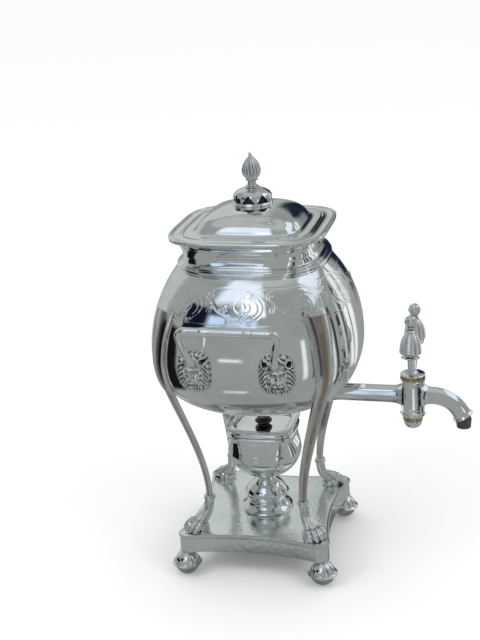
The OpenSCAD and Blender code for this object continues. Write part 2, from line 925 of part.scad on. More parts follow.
module spout() {
    root_l = bend_at - spout_start;
    overlap = 0.6;
    step = 0.15;
    color(silver) {
        difference() {
            union() {
                spout_bend(spout_r);
                translate([spout_start - 3, 0, tap_z]) rotate([0, 90, 0]) {
                    cylinder(h = root_l + 3 + overlap, r1 = spout_r + 2.6, r2 = spout_r + step);
                }
                at_lip() translate([0, 0, -overlap]) {
                    cylinder(h = lip_h + overlap, r1 = spout_r + step, r2 = lip_r);
                }
            }
            spout_bend(spout_bore);
            translate([barrel_at, 0, tap_z]) rotate([0, 90, 0]) {
                cylinder(h = bend_at - barrel_at + overlap, r = spout_bore + step);
            }
            at_lip() translate([0, 0, -overlap]) cylinder(h = lip_h * 2, r = spout_bore + step);
            translate([barrel_at, 0, barrel_bottom]) cylinder(h = 60, r = barrel_r + 0.02);
        }
    }
}

nozzle_r = 7.4;
nozzle_drop = 10.5;
lip_x = bend_at + (bend_r) * sin(bend) + lip_h * cos(bend);
lip_z = tap_z - bend_r + bend_r * cos(bend) - lip_h * sin(bend);

// Dark nozzle that hangs straight down from the slanted lip
module spout_nozzle() {
    color(dark_metal) {
        difference() {
            translate([lip_x, 0, lip_z - nozzle_drop]) {
                cylinder(h = nozzle_drop * 2, r1 = nozzle_r - 0.8, r2 = nozzle_r + 0.6);
            }
            translate([lip_x, 0, lip_z - nozzle_drop - 1]) {
                cylinder(h = nozzle_drop * 3, r = spout_bore - 0.2);
            }
            at_lip() translate([-30, -30, lip_h - 30]) cube([60, 60, 30]);
        }
    }
}

// ---------------------------------------------------------------- tap key

head_h = 2.6;
head_r = barrel_r + 0.2;
plug_low = barrel_bottom - 2.4;
screw_r = 3;
screw_h = 8;
washer_h = 2;
fork_r = key_w / 2;
fork_rod = 2.7;
fork_z = barrel_top + seat_gap + head_h + fork_r - 1;
arm_lean = 9;

module tap_plug() {
    z0 = barrel_bottom + running_gap;
    z1 = barrel_top + seat_gap;
    color(silver) {
        translate([barrel_at, 0, 0]) {
            difference() {
                rotate_extrude() {
                    polygon([
                        [0, plug_low - screw_h], [screw_r, plug_low - screw_h], [screw_r, plug_low],
                        [plug_low_r, plug_low], [plug_r(z0), z0], [plug_r(barrel_top), barrel_top],
                        [plug_r(barrel_top), z1], [head_r, z1], [head_r, z1 + head_h - 0.8],
                        [head_r - 2.4, z1 + head_h], [0, z1 + head_h]
                    ]);
                }
                translate([0, 0, tap_z]) rotate([90, 0, 0]) cylinder(h = 40, r = way_r - 0.4, center = true);
            }
        }
    }
}

// Point of a key arm, for side -1 (front) or 1 (back), at a height above the fork's ends
module on_arm(side, up) {
    translate([barrel_at, side * fork_r, fork_z]) {
        rotate([arm_lean * side, 0, 0]) translate([0, 0, up]) children();
    }
}

key_disc_r = 8.5;
key_disc_z = 2;
bell_r = 10;
bell_h = 20;
bell_z = 5;
ball_r = 5.8;
ball_z = bell_z + bell_h + 10.5;

// U-shaped fork with a disc on each arm
module tap_fork() {
    head_top = barrel_top + seat_gap + head_h;
    color(silver) {
        difference() {
            union() {
                translate([barrel_at, 0, fork_z]) {
                    rotate([0, 90, 0]) rotate([0, 0, -90]) {
                        rotate_extrude(angle = 180, $fn = 72) translate([fork_r, 0]) circle(fork_rod);
                    }
                }
                translate([barrel_at, 0, head_top]) cylinder(h = 3, r1 = 5.4, r2 = 3);
                for (side = [-1, 1]) {
                    on_arm(side, -0.6) cylinder(h = ball_z, r = 1.6);
                    on_arm(side, key_disc_z - 2) cylinder(h = 2, r1 = 3.4, r2 = key_disc_r);
                    on_arm(side, key_disc_z) cylinder(h = 1.2, r1 = key_disc_r, r2 = key_disc_r - 1.6);
                }
            }
            translate([barrel_at, 0, head_top - 20]) cylinder(h = 20, r = barrel_r * 2);
        }
    }
}

// Beehive knob threaded on a key arm
module key_bell(side) {
    color(silver) {
        on_arm(side, bell_z) {
            difference() {
                rotate_extrude() {
                    polygon([
                        [0, 0], [bell_r * 0.5, 0], [bell_r * 0.94, 0.8], [bell_r, 3], [bell_r * 0.96, 8],
                        [bell_r * 0.86, 12.5], [bell_r * 0.7, 16.5], [bell_r * 0.45, bell_h], [0, bell_h]
                    ]);
                }
                translate([0, 0, -1]) cylinder(h = bell_h + 2, r = 1.6 + running_gap);
            }
        }
    }
}

module key_ball(side) {
    color(silver) {
        on_arm(side, bell_z + bell_h) {
            difference() {
                rotate_extrude() {
                    polygon(concat(
                        [[0, 0], [3.8, 0], [3.2, 3], [3.6, ball_z - bell_z - bell_h - ball_r * 0.78]],
                        [for (a = [-35:15:85]) [ball_r * cos(a), ball_z - bell_z - bell_h + ball_r * sin(a)]],
                        [[0, ball_z - bell_z - bell_h + ball_r]]
                    ));
                }
                translate([0, 0, -1]) cylinder(h = ball_z - bell_z - bell_h + 0.6, r = 1.6 + running_gap);
            }
        }
    }
}

module key_bell_front() { key_bell(-1); }
module key_bell_back() { key_bell(1); }
module key_ball_front() { key_ball(-1); }
module key_ball_back() { key_ball(1); }

module tap_washer() {
    color(brass) {
        translate([barrel_at, 0, plug_low - washer_h]) {
            difference() {
                cylinder(h = washer_h, r = 9.4);
                translate([0, 0, -1]) cylinder(h = washer_h + 2, r = screw_r + running_gap);
            }
        }
    }
}

module tap_nut() {
    color(silver) {
        translate([barrel_at, 0, plug_low - washer_h]) {
            difference() {
                rotate_extrude() {
                    polygon([[0, 0], [8.4, 0], [8.6, -2], [7.8, -5], [5.4, -7.4], [0, -8.4]]);
                }
                translate([0, 0, -screw_h + washer_h - 0.2]) cylinder(h = screw_h, r = screw_r + running_gap);
            }
        }
    }
}

// ------------------------------------------------------------------- lamp

socket_r = 25.5;
socket_h = 15;
socket_bore = 15.6;
socket_floor = 3;
lamp_seat = plinth_top + socket_h + seat_gap;
spigot_drop = 9;
bowl_bottom = plinth_top + 36.6;
bowl_top = plinth_top + 86;
bowl_half = lamp_w / 2;
cover_half = cover_w / 2;
// Share of the half width that is corner radius, of the bowl's belly and of its square mouth
bowl_round = 0.86;
cover_round = 0.5;

// Socket ring screwed to the plinth, which locates the lamp
module lamp_socket() {
    color(silver) {
        translate([0, 0, plinth_top]) {
            rotate_extrude() {
                polygon([
                    [0, -sheet - 4], [socket_stud_r, -sheet - 4], [socket_stud_r, 0], [socket_r - 1, 0],
                    [socket_r, 1.6], [socket_r, 4.5], [socket_r - 2, 8], [socket_r - 5, 11],
                    [socket_r - 6, socket_h], [socket_bore, socket_h], [socket_bore, socket_floor],
                    [0, socket_floor]
                ]);
            }
        }
    }
}

module lamp_foot() {
    r = socket_bore - seat_gap;
    up = bowl_bottom - lamp_seat;
    color(silver) {
        translate([0, 0, lamp_seat]) {
            rotate_extrude() {
                polygon([
                    [0, -spigot_drop], [r - 1, -spigot_drop], [r, -spigot_drop + 1], [r, 0],
                    [lamp_foot_r - 1, 0], [lamp_foot_r, 0.8], [lamp_foot_r, 2], [lamp_foot_r - 2, 3.6],
                    [lamp_foot_r * 0.74, up * 0.33], [lamp_foot_r * 0.46, up * 0.58],
                    [lamp_foot_r * 0.26, up * 0.78], [lamp_foot_r * 0.22, up * 0.9],
                    [lamp_foot_r * 0.3, up], [0, up]
                ]);
            }
        }
    }
}

// Outline of the lamp's bowl: half width and height of each ring
function bowl_profile(inset) =
    let (h = bowl_top - bowl_bottom)
    [
        for (p = [
            [0.2, 0], [0.36, 0.015], [0.56, 0.08], [0.75, 0.18], [0.89, 0.3], [0.97, 0.42],
            [1, 0.54], [0.985, 0.68], [0.94, 0.84], [0.9, 1]
        ])
            let (half = bowl_half * p[0] - inset * 1.1)
            ring(half, half * (bowl_round + (cover_round - bowl_round) * max(0, (p[1] - 0.6) / 0.4)),
                 min(bowl_top, bowl_bottom + h * p[1] + (p[1] < 0.5 ? inset : 0)))
    ];

module lamp_bowl() {
    color(silver) skin(concat(bowl_profile(0), reversed(bowl_profile(sheet))));
}

tube_bore = 3;
wick_tube_h = 40;

// Wick tube standing on the bowl's floor
module wick_tube() {
    color(brass) {
        translate([0, 0, bowl_bottom + sheet]) {
            difference() {
                union() {
                    cylinder(h = wick_tube_h, r = tube_bore + 1);
                    cylinder(h = 2, r = 6);
                }
                translate([0, 0, 2]) cylinder(h = wick_tube_h, r = tube_bore);
            }
        }
    }
}

module wick() {
    color(cotton) {
        translate([0, 0, bowl_bottom + sheet + 2]) cylinder(h = wick_tube_h + 0.5, r = tube_bore - 0.1);
    }
}

cover_seat = bowl_top + seat_gap;
cover_rise = 7.5;
cover_drop = 4;

// Square cover: a tray with a flared rim, and a collar that drops into the bowl
module lamp_cover() {
    mouth = bowl_half * 0.9 - sheet * 1.1 - seat_gap;
    outer = [
        [mouth - 1.4, -cover_drop], [mouth, -cover_drop], [mouth, 0], [mouth + 1.8, 0],
        [cover_half - 1.4, cover_rise * 0.55], [cover_half, cover_rise], [cover_half - 1.6, cover_rise],
        [cover_half - 5, cover_rise * 0.5], [cover_half - 8, cover_rise * 0.34], [4, cover_rise * 0.34],
        [4, 0.2], [mouth - 1.4, 0.2]
    ];
    color(silver) {
        skin([for (p = outer) ring(p[0], p[0] * cover_round, cover_seat + p[1])], closed = true);
    }
}

module lamp_knob() {
    z0 = cover_seat + cover_rise * 0.34;
    color(ebony) {
        rotate_extrude() {
            polygon([
                [0, z0 - 1.6], [3.4, z0 - 1.6], [3.4, z0], [5, z0], [4.6, z0 + 1.2], [7.4, z0 + 2.2],
                [8.3, z0 + 3.8], [8, z0 + 5.4], [6, z0 + 6.8], [2.4, z0 + 7.4], [0, z0 + 7.5]
            ]);
        }
    }
}

// --------------------------------------------------------------- assembly

plinth();
plinth_bead();
base_plate();
foot_front_left();
foot_front_right();
foot_back_left();
foot_back_right();
paw_front_left();
paw_front_right();
paw_back_left();
paw_back_right();
paw_nuts();
leg_front_left();
leg_front_right();
leg_back_left();
leg_back_right();
body();
shoulder();
neck();
neck_moulding();
rim();
rim_bead();
lid();
lid_bezel();
vent_cap();
finial();
finial_nut();
handle_front();
handle_back();
mask_front_left();
mask_front_right();
mask_back_left();
mask_back_right();
handle_nuts();
tap_tube();
tap_strainer();
tap_barrel();
barrel_ring();
spout();
spout_nozzle();
tap_plug();
tap_fork();
key_bell_front();
key_bell_back();
key_ball_front();
key_ball_back();
tap_washer();
tap_nut();
lamp_socket();
lamp_foot();
lamp_bowl();
wick_tube();
wick();
lamp_cover();
lamp_knob();
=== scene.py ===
import json
import math

import bmesh
import bpy
import numpy as np
from mathutils import Matrix, Vector

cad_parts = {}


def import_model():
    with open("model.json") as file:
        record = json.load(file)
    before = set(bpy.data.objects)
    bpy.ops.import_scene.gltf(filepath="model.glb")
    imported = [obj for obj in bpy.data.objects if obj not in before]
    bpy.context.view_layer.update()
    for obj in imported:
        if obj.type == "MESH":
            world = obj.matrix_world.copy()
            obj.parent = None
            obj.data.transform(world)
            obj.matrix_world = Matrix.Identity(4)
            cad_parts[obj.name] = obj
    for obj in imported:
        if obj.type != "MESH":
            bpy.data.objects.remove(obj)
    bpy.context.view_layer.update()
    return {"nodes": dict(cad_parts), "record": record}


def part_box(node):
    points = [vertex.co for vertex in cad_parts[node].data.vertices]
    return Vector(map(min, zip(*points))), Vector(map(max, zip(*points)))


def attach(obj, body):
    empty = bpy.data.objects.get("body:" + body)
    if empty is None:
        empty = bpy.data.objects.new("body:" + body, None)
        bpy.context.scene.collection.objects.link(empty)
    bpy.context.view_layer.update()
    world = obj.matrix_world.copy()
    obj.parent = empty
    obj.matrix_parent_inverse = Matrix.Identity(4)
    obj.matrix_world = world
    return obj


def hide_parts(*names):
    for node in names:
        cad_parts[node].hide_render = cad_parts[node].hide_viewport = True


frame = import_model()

MM = 0.001
TAU = 2 * math.pi


# ------------------------------------------------------------ sizes, in mm
def low(node, axis):
    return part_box(node)[0][axis] / MM


def high(node, axis):
    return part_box(node)[1][axis] / MM


def middle(node, axis):
    return (low(node, axis) + high(node, axis)) / 2


FOOT_H = low("plinth", 2)
PLINTH_TOP = high("plinth_bead", 2)
PLINTH_HALF = high("plinth_bead", 0)
CORNER_R = 11.0
SIDE_BOW = 8.5
WALL_IN = PLINTH_HALF - high("plinth", 0)
FOOT_AT = PLINTH_HALF - CORNER_R + 3.5
BODY_HALF = high("body", 0)
BODY_LOW = low("body", 2)
WIDEST = high("body", 2)
SHOULDER = high("shoulder", 2)
# Thickness of the sheet, and how far the body's curve goes down and up from its widest
SHEET = 1.6
DROP = 66.0
RISE = SHOULDER - WIDEST
DOME_RISE = RISE * 1.392
RIM_LOW = low("rim", 2)
RIM_TOP = high("rim", 2)
RIM_HALF = high("rim_bead", 0)
PLATE_HALF = high("rim", 0)
LID_HALF = high("lid", 0)
LID_TOP = high("lid", 2)
OPENING_HALF = LID_HALF + 0.3
TIP_Z = high("finial", 2)
VENT_TOP = high("vent_cap", 2)
VENT_R = high("vent_cap", 0)
BARREL_X = middle("tap_barrel", 0)
BARREL_LOW = low("tap_barrel", 2)
BARREL_TOP = high("barrel_ring", 2)
TAP_Z = middle("tap_strainer", 2)
BAR_BAND_R = 4.6
BAR_Y = high("handle_back", 1) - BAR_BAND_R
BAR_Z = high("handle_back", 2) - BAR_BAND_R
MASK_X = middle("mask_back_right", 0)
LAMP_TOP = high("lamp_bowl", 2)
LAMP_LOW = low("lamp_bowl", 2)
LAMP_HALF = high("lamp_bowl", 0)
SOCKET_TOP = high("lamp_socket", 2)
SOCKET_R = high("lamp_socket", 0)
LAMP_SEAT = SOCKET_TOP + 0.3
LAMP_FOOT_R = high("lamp_foot", 0)
COVER_HALF = high("lamp_cover", 0)
COVER_TOP = high("lamp_cover", 2)


# ---------------------------------------------------------------- materials
class Look:
    """A material and short ways to wire its procedural nodes."""

    def __init__(self, name, metal=1):
        self.mat = bpy.data.materials.new(name)
        self.mat.use_nodes = True
        self.tree = self.mat.node_tree
        self.shader = self.tree.nodes["Principled BSDF"]
        self.places = {}
        self.put(self.shader, "Metallic", metal)

    def put(self, node, socket, value):
        """Links an output to the socket, or sets a plain value on it."""
        if isinstance(value, bpy.types.NodeSocket):
            self.tree.links.new(value, node.inputs[socket])
        elif isinstance(value, tuple) and len(value) == 3:
            node.inputs[socket].default_value = (*value, 1)
        else:
            node.inputs[socket].default_value = value

    def node(self, kind, values=(), **settings):
        node = self.tree.nodes.new("ShaderNode" + kind)
        for key, value in settings.items():
            setattr(node, key, value)
        for socket, value in dict(values).items():
            self.put(node, socket, value)
        return node

    def at(self, stretch=(1, 1, 1)):
        """Object coordinates, stretched, made once for each stretch."""
        if stretch not in self.places:
            mapping = self.node("Mapping", {"Vector": self.node("TexCoord").outputs["Object"]})
            mapping.inputs["Scale"].default_value = stretch
            self.places[stretch] = mapping.outputs["Vector"]
        return self.places[stretch]

    def noise(self, vector, scale, detail=3.0, rough=0.55):
        values = {"Scale": scale, "Detail": detail, "Roughness": rough, "Vector": vector}
        return self.node("TexNoise", values).outputs["Fac"]

    def ramp(self, fac, stops):
        node = self.node("ValToRGB", {"Fac": fac})
        elements = node.color_ramp.elements
        while len(elements) < len(stops):
            elements.new(0.5)
        for element, (place, colour) in zip(elements, stops):
            element.position = place
            element.color = (*colour, 1)
        return node.outputs["Color"]

    def span(self, value, a, b, lo_out, hi_out):
        values = {"From Min": a, "From Max": b, "To Min": lo_out, "To Max": hi_out, "Value": value}
        return self.node("MapRange", values).outputs["Result"]

    def sums(self, kind, a, b):
        return self.node("Math", {0: a, 1: b}, operation=kind).outputs["Value"]

    def mix(self, fac, a, b):
        node = self.node("Mix", {"Factor": fac}, data_type="RGBA")
        self.put(node, "A", a)
        self.put(node, "B", b)
        return node.outputs["Result"]

    def attribute(self, name):
        return self.node("Attribute", attribute_name=name).outputs["Fac"]

    def base(self, colour):
        self.put(self.shader, "Base Color", colour)

    def rough(self, value):
        self.put(self.shader, "Roughness", value)

    def bump(self, height, strength, distance):
        values = {"Strength": strength, "Distance": distance, "Height": height}
        self.put(self.shader, "Normal", self.node("Bump", values).outputs["Normal"])


SILVER = (0.93, 0.94, 0.93)
TARNISH = (0.77, 0.78, 0.775)


def polished_silver(name, rough=(0.11, 0.035), wave=0.5, cut=None):
    """Mirror plate: tarnish, polishing marks and a slight wave. cut names an attribute of burin lines."""
    look = Look(name)
    at = look.at()
    cloud = look.noise(at, 26, 4)
    fine = look.noise(at, 420, 3)
    colour = look.ramp(cloud, [(0.3, TARNISH), (0.62, SILVER)])
    gloss = look.span(look.sums("MULTIPLY", cloud, fine), 0.12, 0.42, *rough)
    if cut:
        depth = look.attribute(cut)
        colour = look.mix(depth, colour, (0.99, 0.99, 0.99))
        gloss = look.sums("ADD", gloss, look.sums("MULTIPLY", depth, 0.4))
    look.base(colour)
    look.rough(gloss)
    wavy = look.noise(at, 16, 1.5)
    look.bump(look.sums("ADD", wavy, look.sums("MULTIPLY", fine, 0.004)), wave, 0.001)
    return look.mat


def chased_silver(name, dark=(0.05, 0.052, 0.05)):
    """Cast or chased silver with tarnish left in the hollows."""
    look = Look(name)
    at = look.at()
    cloud = look.noise(at, 140, 4)
    hollow = look.span(look.node("NewGeometry").outputs["Pointiness"], 0.44, 0.51, 0, 1)
    worn = look.ramp(cloud, [(0.3, tuple(0.82 * c for c in SILVER)), (0.65, SILVER)])
    look.base(look.mix(hollow, dark, worn))
    look.rough(look.span(cloud, 0.3, 0.7, 0.3, 0.1))
    look.bump(look.noise(at, 900, 3), 0.12, 0.0004)
    return look.mat


def worn_strap(name):
    """Silver plate worn through to warm copper down the middle of the strap."""
    look = Look(name)
    grain = look.noise(look.at((1, 1, 0.12)), 260, 5, 0.65)
    patch = look.noise(look.at(), 34, 4)
    wear = look.span(look.attribute("across"), 0.62, 0.2, 0, 1)
    wear = look.sums("MULTIPLY", wear, look.span(patch, 0.32, 0.52, 0.35, 1))
    wear = look.sums("MULTIPLY", wear, look.span(grain, 0.3, 0.62, 0.55, 1))
    browns = [(0.3, (0.2, 0.13, 0.085)), (0.55, (0.36, 0.26, 0.18)), (0.75, (0.5, 0.42, 0.34))]
    copper = look.ramp(grain, browns)
    plate = look.ramp(patch, [(0.3, (0.62, 0.6, 0.57)), (0.65, (0.82, 0.82, 0.8))])
    look.base(look.mix(wear, plate, copper))
    look.rough(look.span(wear, 0, 1, 0.09, 0.34))
    look.bump(grain, 0.12, 0.0006)
    return look.mat


def cloudy(name, scale, detail, stops, rough, stretch=(1, 1, 1), metal=0):
    """A look whose colour, and roughness where that is a pair, follow one noise, its cloud."""
    look = Look(name, metal)
    look.cloud = look.noise(look.at(stretch), scale, detail)
    look.base(look.ramp(look.cloud, stops))
    look.rough(look.span(look.cloud, 0.3, 0.7, *rough) if isinstance(rough, tuple) else rough)
    return look


def yellow_brass(name):
    stops = [(0.3, (0.34, 0.25, 0.11)), (0.65, (0.72, 0.58, 0.32))]
    look = cloudy(name, 120, 4, stops, (0.34, 0.14), metal=1)
    look.bump(look.noise(look.at(), 700, 3), 0.1, 0.0004)
    return look.mat


def polished_ebony(name):
    stops = [(0.35, (0.006, 0.005, 0.005)), (0.7, (0.03, 0.022, 0.017))]
    look = cloudy(name, 900, 5, stops, (0.12, 0.26), (1, 1, 0.08))
    look.put(look.shader, "Coat Weight", 0.6)
    look.put(look.shader, "Coat Roughness", 0.05)
    return look.mat


def dark_nozzle(name):
    stops = [(0.3, (0.012, 0.013, 0.014)), (0.7, (0.06, 0.065, 0.07))]
    return cloudy(name, 300, 4, stops, (0.2, 0.42)).mat


def cotton(name):
    stops = [(0.3, (0.5, 0.46, 0.36)), (0.7, (0.85, 0.81, 0.7))]
    look = cloudy(name, 1600, 4, stops, 0.95, (1, 1, 0.3))
    look.bump(look.cloud, 0.6, 0.0006)
    return look.mat


def shade_black(name):
    """Unpolished black inside of the vent, painted shade that shows through its openings."""
    return cloudy(name, 200, 3, [(0.3, (0.004, 0.004, 0.005)), (0.7, (0.02, 0.02, 0.022))], 0.7).mat


def hammered_silver(name):
    """Old silver of the plinth, pale and leathery."""
    stops = [(0.3, (0.8, 0.84, 0.81)), (0.62, (0.9, 0.93, 0.91))]
    look = cloudy(name, 30, 4, stops, (0.07, 0.025), metal=1)
    skin = look.noise(look.at((1, 1.4, 1)), 190, 4, 0.6)
    look.bump(look.sums("ADD", skin, look.noise(look.at(), 22, 1.5)), 0.28, 0.001)
    return look.mat


PLATE = polished_silver("silver_plate")
VENT_SHADE = shade_black("vent_painted_shade")
LEATHERY = hammered_silver("plinth_silver")
MIRROR = polished_silver("silver_mirror", rough=(0.05, 0.012), wave=0.35)
ENGRAVED = polished_silver("engraved_plate", rough=(0.1, 0.035), cut="cut")
CHASED = chased_silver("chased_silver")
STRAP = worn_strap("worn_plate")
BRASS = yellow_brass("brass")
EBONY = polished_ebony("ebony")
NOZZLE = dark_nozzle("dark_ferrule")
COTTON = cotton("cotton_wick")


# ------------------------------------------------------------ mesh helpers
class Mesh:
    """Points in mm and faces, gathered from grids of rings."""

    def __init__(self):
        self.points, self.faces, self.values, self.count = [], [], [], 0

    def grid(self, rings, around=True, value=None):
        rings = np.asarray(rings, float)
        m, n = rings.shape[:2]
        base = self.count
        self.points.append(rings.reshape(-1, 3))
        self.values.append(np.zeros(m * n) if value is None else np.asarray(value, float).reshape(-1))
        self.count += m * n
        i = np.arange(m - 1)[:, None]
        j = np.arange(n if around else n - 1)[None, :]
        j2 = (j + 1) % n
        quads = np.stack([i * n + j, i * n + j2, (i + 1) * n + j2, (i + 1) * n + j], -1) + base
        self.faces.extend(quads.reshape(-1, 4).tolist())
        return base, m, n

    def pole(self, base, n, point, top=True):
        """Closes a ring of n points that starts at base with a fan to one point."""
        self.points.append(np.array([point], float))
        self.values.append(np.zeros(1))
        tip = self.count
        self.count += 1
        for j in range(n):
            a, b = base + j, base + (j + 1) % n
            self.faces.append([a, b, tip] if top else [b, a, tip])

    def add(self, points, faces):
        base = self.count
        self.points.append(points)
        self.values.append(np.zeros(len(points)))
        self.faces.extend([base + i for i in face] for face in faces)
        self.count += len(points)

    def closed(self, rings):
        """Rings with both ends closed by fans to their middles."""
        rings = np.asarray(rings, float)
        base, m, n = self.grid(rings)
        self.pole(base, n, rings[0].mean(0), top=False)
        self.pole(base + (m - 1) * n, n, rings[-1].mean(0))

    def piece(self, name, material, body, nodes=(), sharp=38, value_name=None):
        mesh = bpy.data.meshes.new(name)
        mesh.from_pydata((np.concatenate(self.points) * MM).tolist(), [], self.faces)
        mesh.validate()
        mesh.shade_smooth()
        mesh.set_sharp_from_angle(angle=math.radians(sharp))
        if value_name:
            layer = mesh.attributes.new(value_name, "FLOAT", "POINT")
            layer.data.foreach_set("value", np.concatenate(self.values).astype(np.float32))
        obj = placed(name, mesh, material)
        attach(obj, body)
        if nodes:
            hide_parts(*nodes)
        return obj


def placed(name, data, material=None):
    """Object for the data, linked into the scene."""
    if material:
        data.materials.append(material)
    obj = bpy.data.objects.new(name, data)
    bpy.context.scene.collection.objects.link(obj)
    return obj


def moved(points, along=0.0, up=0.0):
    """Profile points, each moved by the same amounts."""
    return [(along + a, up + b) for a, b in points]


def spline(points, steps=8):
    """Smooth curve through the points, in any number of dimensions."""
    p = [np.array(q, float) for q in points]
    p = [2 * p[0] - p[1], *p, 2 * p[-1] - p[-2]]
    out = []
    for i in range(1, len(p) - 2):
        a, b, c, d = p[i - 1 : i + 3]
        for k in range(steps):
            t = k / steps
            square, cube = 2 * a - 5 * b + 4 * c - d, 3 * b - a - 3 * c + d
            out.append(0.5 * (2 * b + (c - a) * t + square * t**2 + cube * t**3))
    out.append(p[-2])
    return [tuple(q) for q in out]


def power(share):
    """Exponent of the soft square that reaches as far on the diagonal as a rounded one with that share."""
    return 1 / (0.5 - math.log2((1 - share) * math.sqrt(2) + share))


def soft_square(angles, half, share, z):
    """Soft square ring through the angles, at height z. share is the corners' radius over the half width."""
    p = power(share)
    reach = half / (np.abs(np.cos(angles)) ** p + np.abs(np.sin(angles)) ** p) ** (1 / p)
    return np.stack([reach * np.cos(angles), reach * np.sin(angles), np.full(len(angles), float(z))], 1)


def square_ring(half, share, z, n=160):
    return soft_square(np.arange(n) * TAU / n, half, share, z)


def turned(profile, x=0.0, y=0.0, n=128, wobble=None):
    """Rings of a turned piece from (radius, height) pairs. wobble(angle, i) scales the radius."""
    a = np.arange(n) * TAU / n
    rings = []
    for i, (r, z) in enumerate(profile):
        k = 1.0 if wobble is None else wobble(a, i)
        rings.append(np.stack([x + r * k * np.cos(a), y + r * k * np.sin(a), np.full(n, float(z))], 1))
    return rings


def arc(cx, cz, r, start, end, steps):
    """(radius, height) points on an arc, angles in degrees."""
    angles = np.radians(np.linspace(start, end, steps + 1))
    return [(cx + r * math.cos(t), cz + r * math.sin(t)) for t in angles]


def lathe(name, look, body, node, profile, x=0.0, y=0.0, n=128, closed=True):
    """A turned piece from (radius, height) pairs, with its ends closed or open."""
    mesh = Mesh()
    if closed:
        mesh.closed(turned(profile, x, y, n))
    else:
        mesh.grid(turned(profile, x, y, n))
    mesh.piece(name, look, body, [node] if node else ())


def bead_row(name, node, places, r):
    """Small beads at the places, as low domes of 8 sides."""
    mesh = Mesh()
    for x, y, z in places:
        mesh.closed(turned(arc(0, z, r, -60, 60, 4), x, y, 8))
    mesh.piece(name, CHASED, "urn", [node])


def spaced(ring, pitch):
    """Evenly spaced places along a closed ring of points."""
    loop = np.vstack([ring, ring[:1]])
    at = np.concatenate([[0], np.cumsum(np.linalg.norm(np.diff(loop, axis=0), axis=1))])
    count = int(round(at[-1] / pitch))
    want = np.arange(count) * at[-1] / count
    return np.stack([np.interp(want, at, loop[:, k]) for k in range(3)], 1)


def swept(path, radii, n=24, section=None, up=(0, 0, 1)):
    """Rings along a path. section(angle, i) scales the radius."""
    path = np.asarray(path, float)
    a = np.arange(n) * TAU / n
    rings = []
    side = None
    for i, p in enumerate(path):
        t = path[min(i + 1, len(path) - 1)] - path[max(i - 1, 0)]
        t /= np.linalg.norm(t)
        if side is None:
            side = np.cross(t, np.array(up, float))
        side = side - t * (side @ t)
        side /= np.linalg.norm(side)
        r = radii[i] * (1.0 if section is None else section(a, i))
        r = np.broadcast_to(r, a.shape)
        rings.append(p + (r * np.cos(a))[:, None] * side - (r * np.sin(a))[:, None] * np.cross(side, t))
    return rings


def octagon_rings(places, edge=0.1):
    """Octagons with narrow rounded edges. places holds (centre, side vector, up vector, corner radius)."""
    half = math.pi / 8
    t = np.array([-1, -1 + 2 * edge, 1 - 2 * edge])
    share = np.tile(np.hypot(1, math.tan(half) * t) * math.cos(half) * (0.985, 1, 1), 8)
    a = (2 * half * np.arange(8)[:, None] + np.arctan(math.tan(half) * t)).reshape(-1) + half
    rings = []
    for centre, side, up, r in places:
        across, along = (r * share * np.cos(a))[:, None], (r * share * np.sin(a))[:, None]
        rings.append(np.array(centre, float) + across * np.array(side, float) + along * np.array(up, float))
    return rings


# -------------------------------------------------------------------- feet
def ball_foot(name, sx, sy):
    ball = FOOT_H * 0.475
    flange = [(12.3, 1.1), (13.6, 0.75), (14.15, 0.3)]
    profile = [(0.01, 0), (3.0, 0)] + arc(0, ball, ball, -74, -8, 14)
    profile += [(r, ball - h) for r, h in flange] + [(r, ball + h) for r, h in flange[::-1]]
    profile += arc(0, ball, ball, 8, 60, 12)
    profile += spline([(5.2, ball * 1.93), (4.7, ball * 1.98), (5.2, FOOT_H - 0.7), (6.6, FOOT_H - 0.1)], 3)
    lathe("ball_" + name, PLATE, "urn", name, profile, sx * FOOT_AT, sy * FOOT_AT, 72)


# ------------------------------------------------------------------ plinth
def plinth_ring(grow, z, side_steps=40, corner_steps=12):
    """Outline of the plinth, grown by an amount, counter-clockwise."""
    c = PLINTH_HALF - CORNER_R
    bow = (c * c + SIDE_BOW * SIDE_BOW) / (2 * SIDE_BOW)
    r = CORNER_R + grow
    b = bow - grow
    span = math.asin(min(1, c / b))
    sweep = np.linspace(-span, span, side_steps + 1)[1:-1]
    quarter = [(PLINTH_HALF - SIDE_BOW + bow - b * math.cos(t), b * math.sin(t)) for t in sweep]
    quarter += arc(c, c, r, 0, 90, corner_steps)
    points = []
    for cs, sn in ((1, 0), (0, 1), (-1, 0), (0, -1)):
        points += [(x * cs - y * sn, x * sn + y * cs, z) for x, y in quarter]
    return np.array(points)


def square_plinth():
    w = -WALL_IN
    top = PLINTH_TOP
    profile = moved([(-SHEET, 1.5), (-SHEET, 0), (-0.3, 0), (0, 0.3), (0, 6)], w, FOOT_H)
    profile += moved([
        (0, -6), (0, -4.4), (-0.5, -4.1), (-0.5, -3.7), (0.1, -3.4), (0.2, -2.9), (-0.2, -2.6), (-0.2, -0.9),
        (0.15, -0.7), (0.1, -0.25), (-0.5, 0), (-1.6, 0), (-2.0, -0.35), (-3.2, -0.35)
    ], w, top)
    mesh = Mesh()
    base, m, n = mesh.grid([plinth_ring(g, z) for g, z in profile])
    last = base + (m - 1) * n
    mesh.faces.append(list(range(last, last + n)))
    mesh.piece("square_plinth", LEATHERY, "urn", ["plinth"])
    bead_row("plinth_beading", "plinth_bead", spaced(plinth_ring(w + 0.15, top - 1.75, 80, 24), 2.7), 1.05)


# -------------------------------------------------------------------- body
def body_half(z, inset=0.0):
    """Half width of the body at height z, or of its inside with an inset."""
    up = z > WIDEST
    t = abs(z - WIDEST) / ((DOME_RISE if up else DROP) - inset)
    return (BODY_HALF - inset) * (1 - t ** (1.95 if up else 2.4)) ** (1 / 2.2)


def body_share(z):
    if z > WIDEST:
        return 0.77 + 0.08 * ((z - WIDEST) / RISE) ** 3
    return 0.77 + 0.1 * (WIDEST - z) / DROP


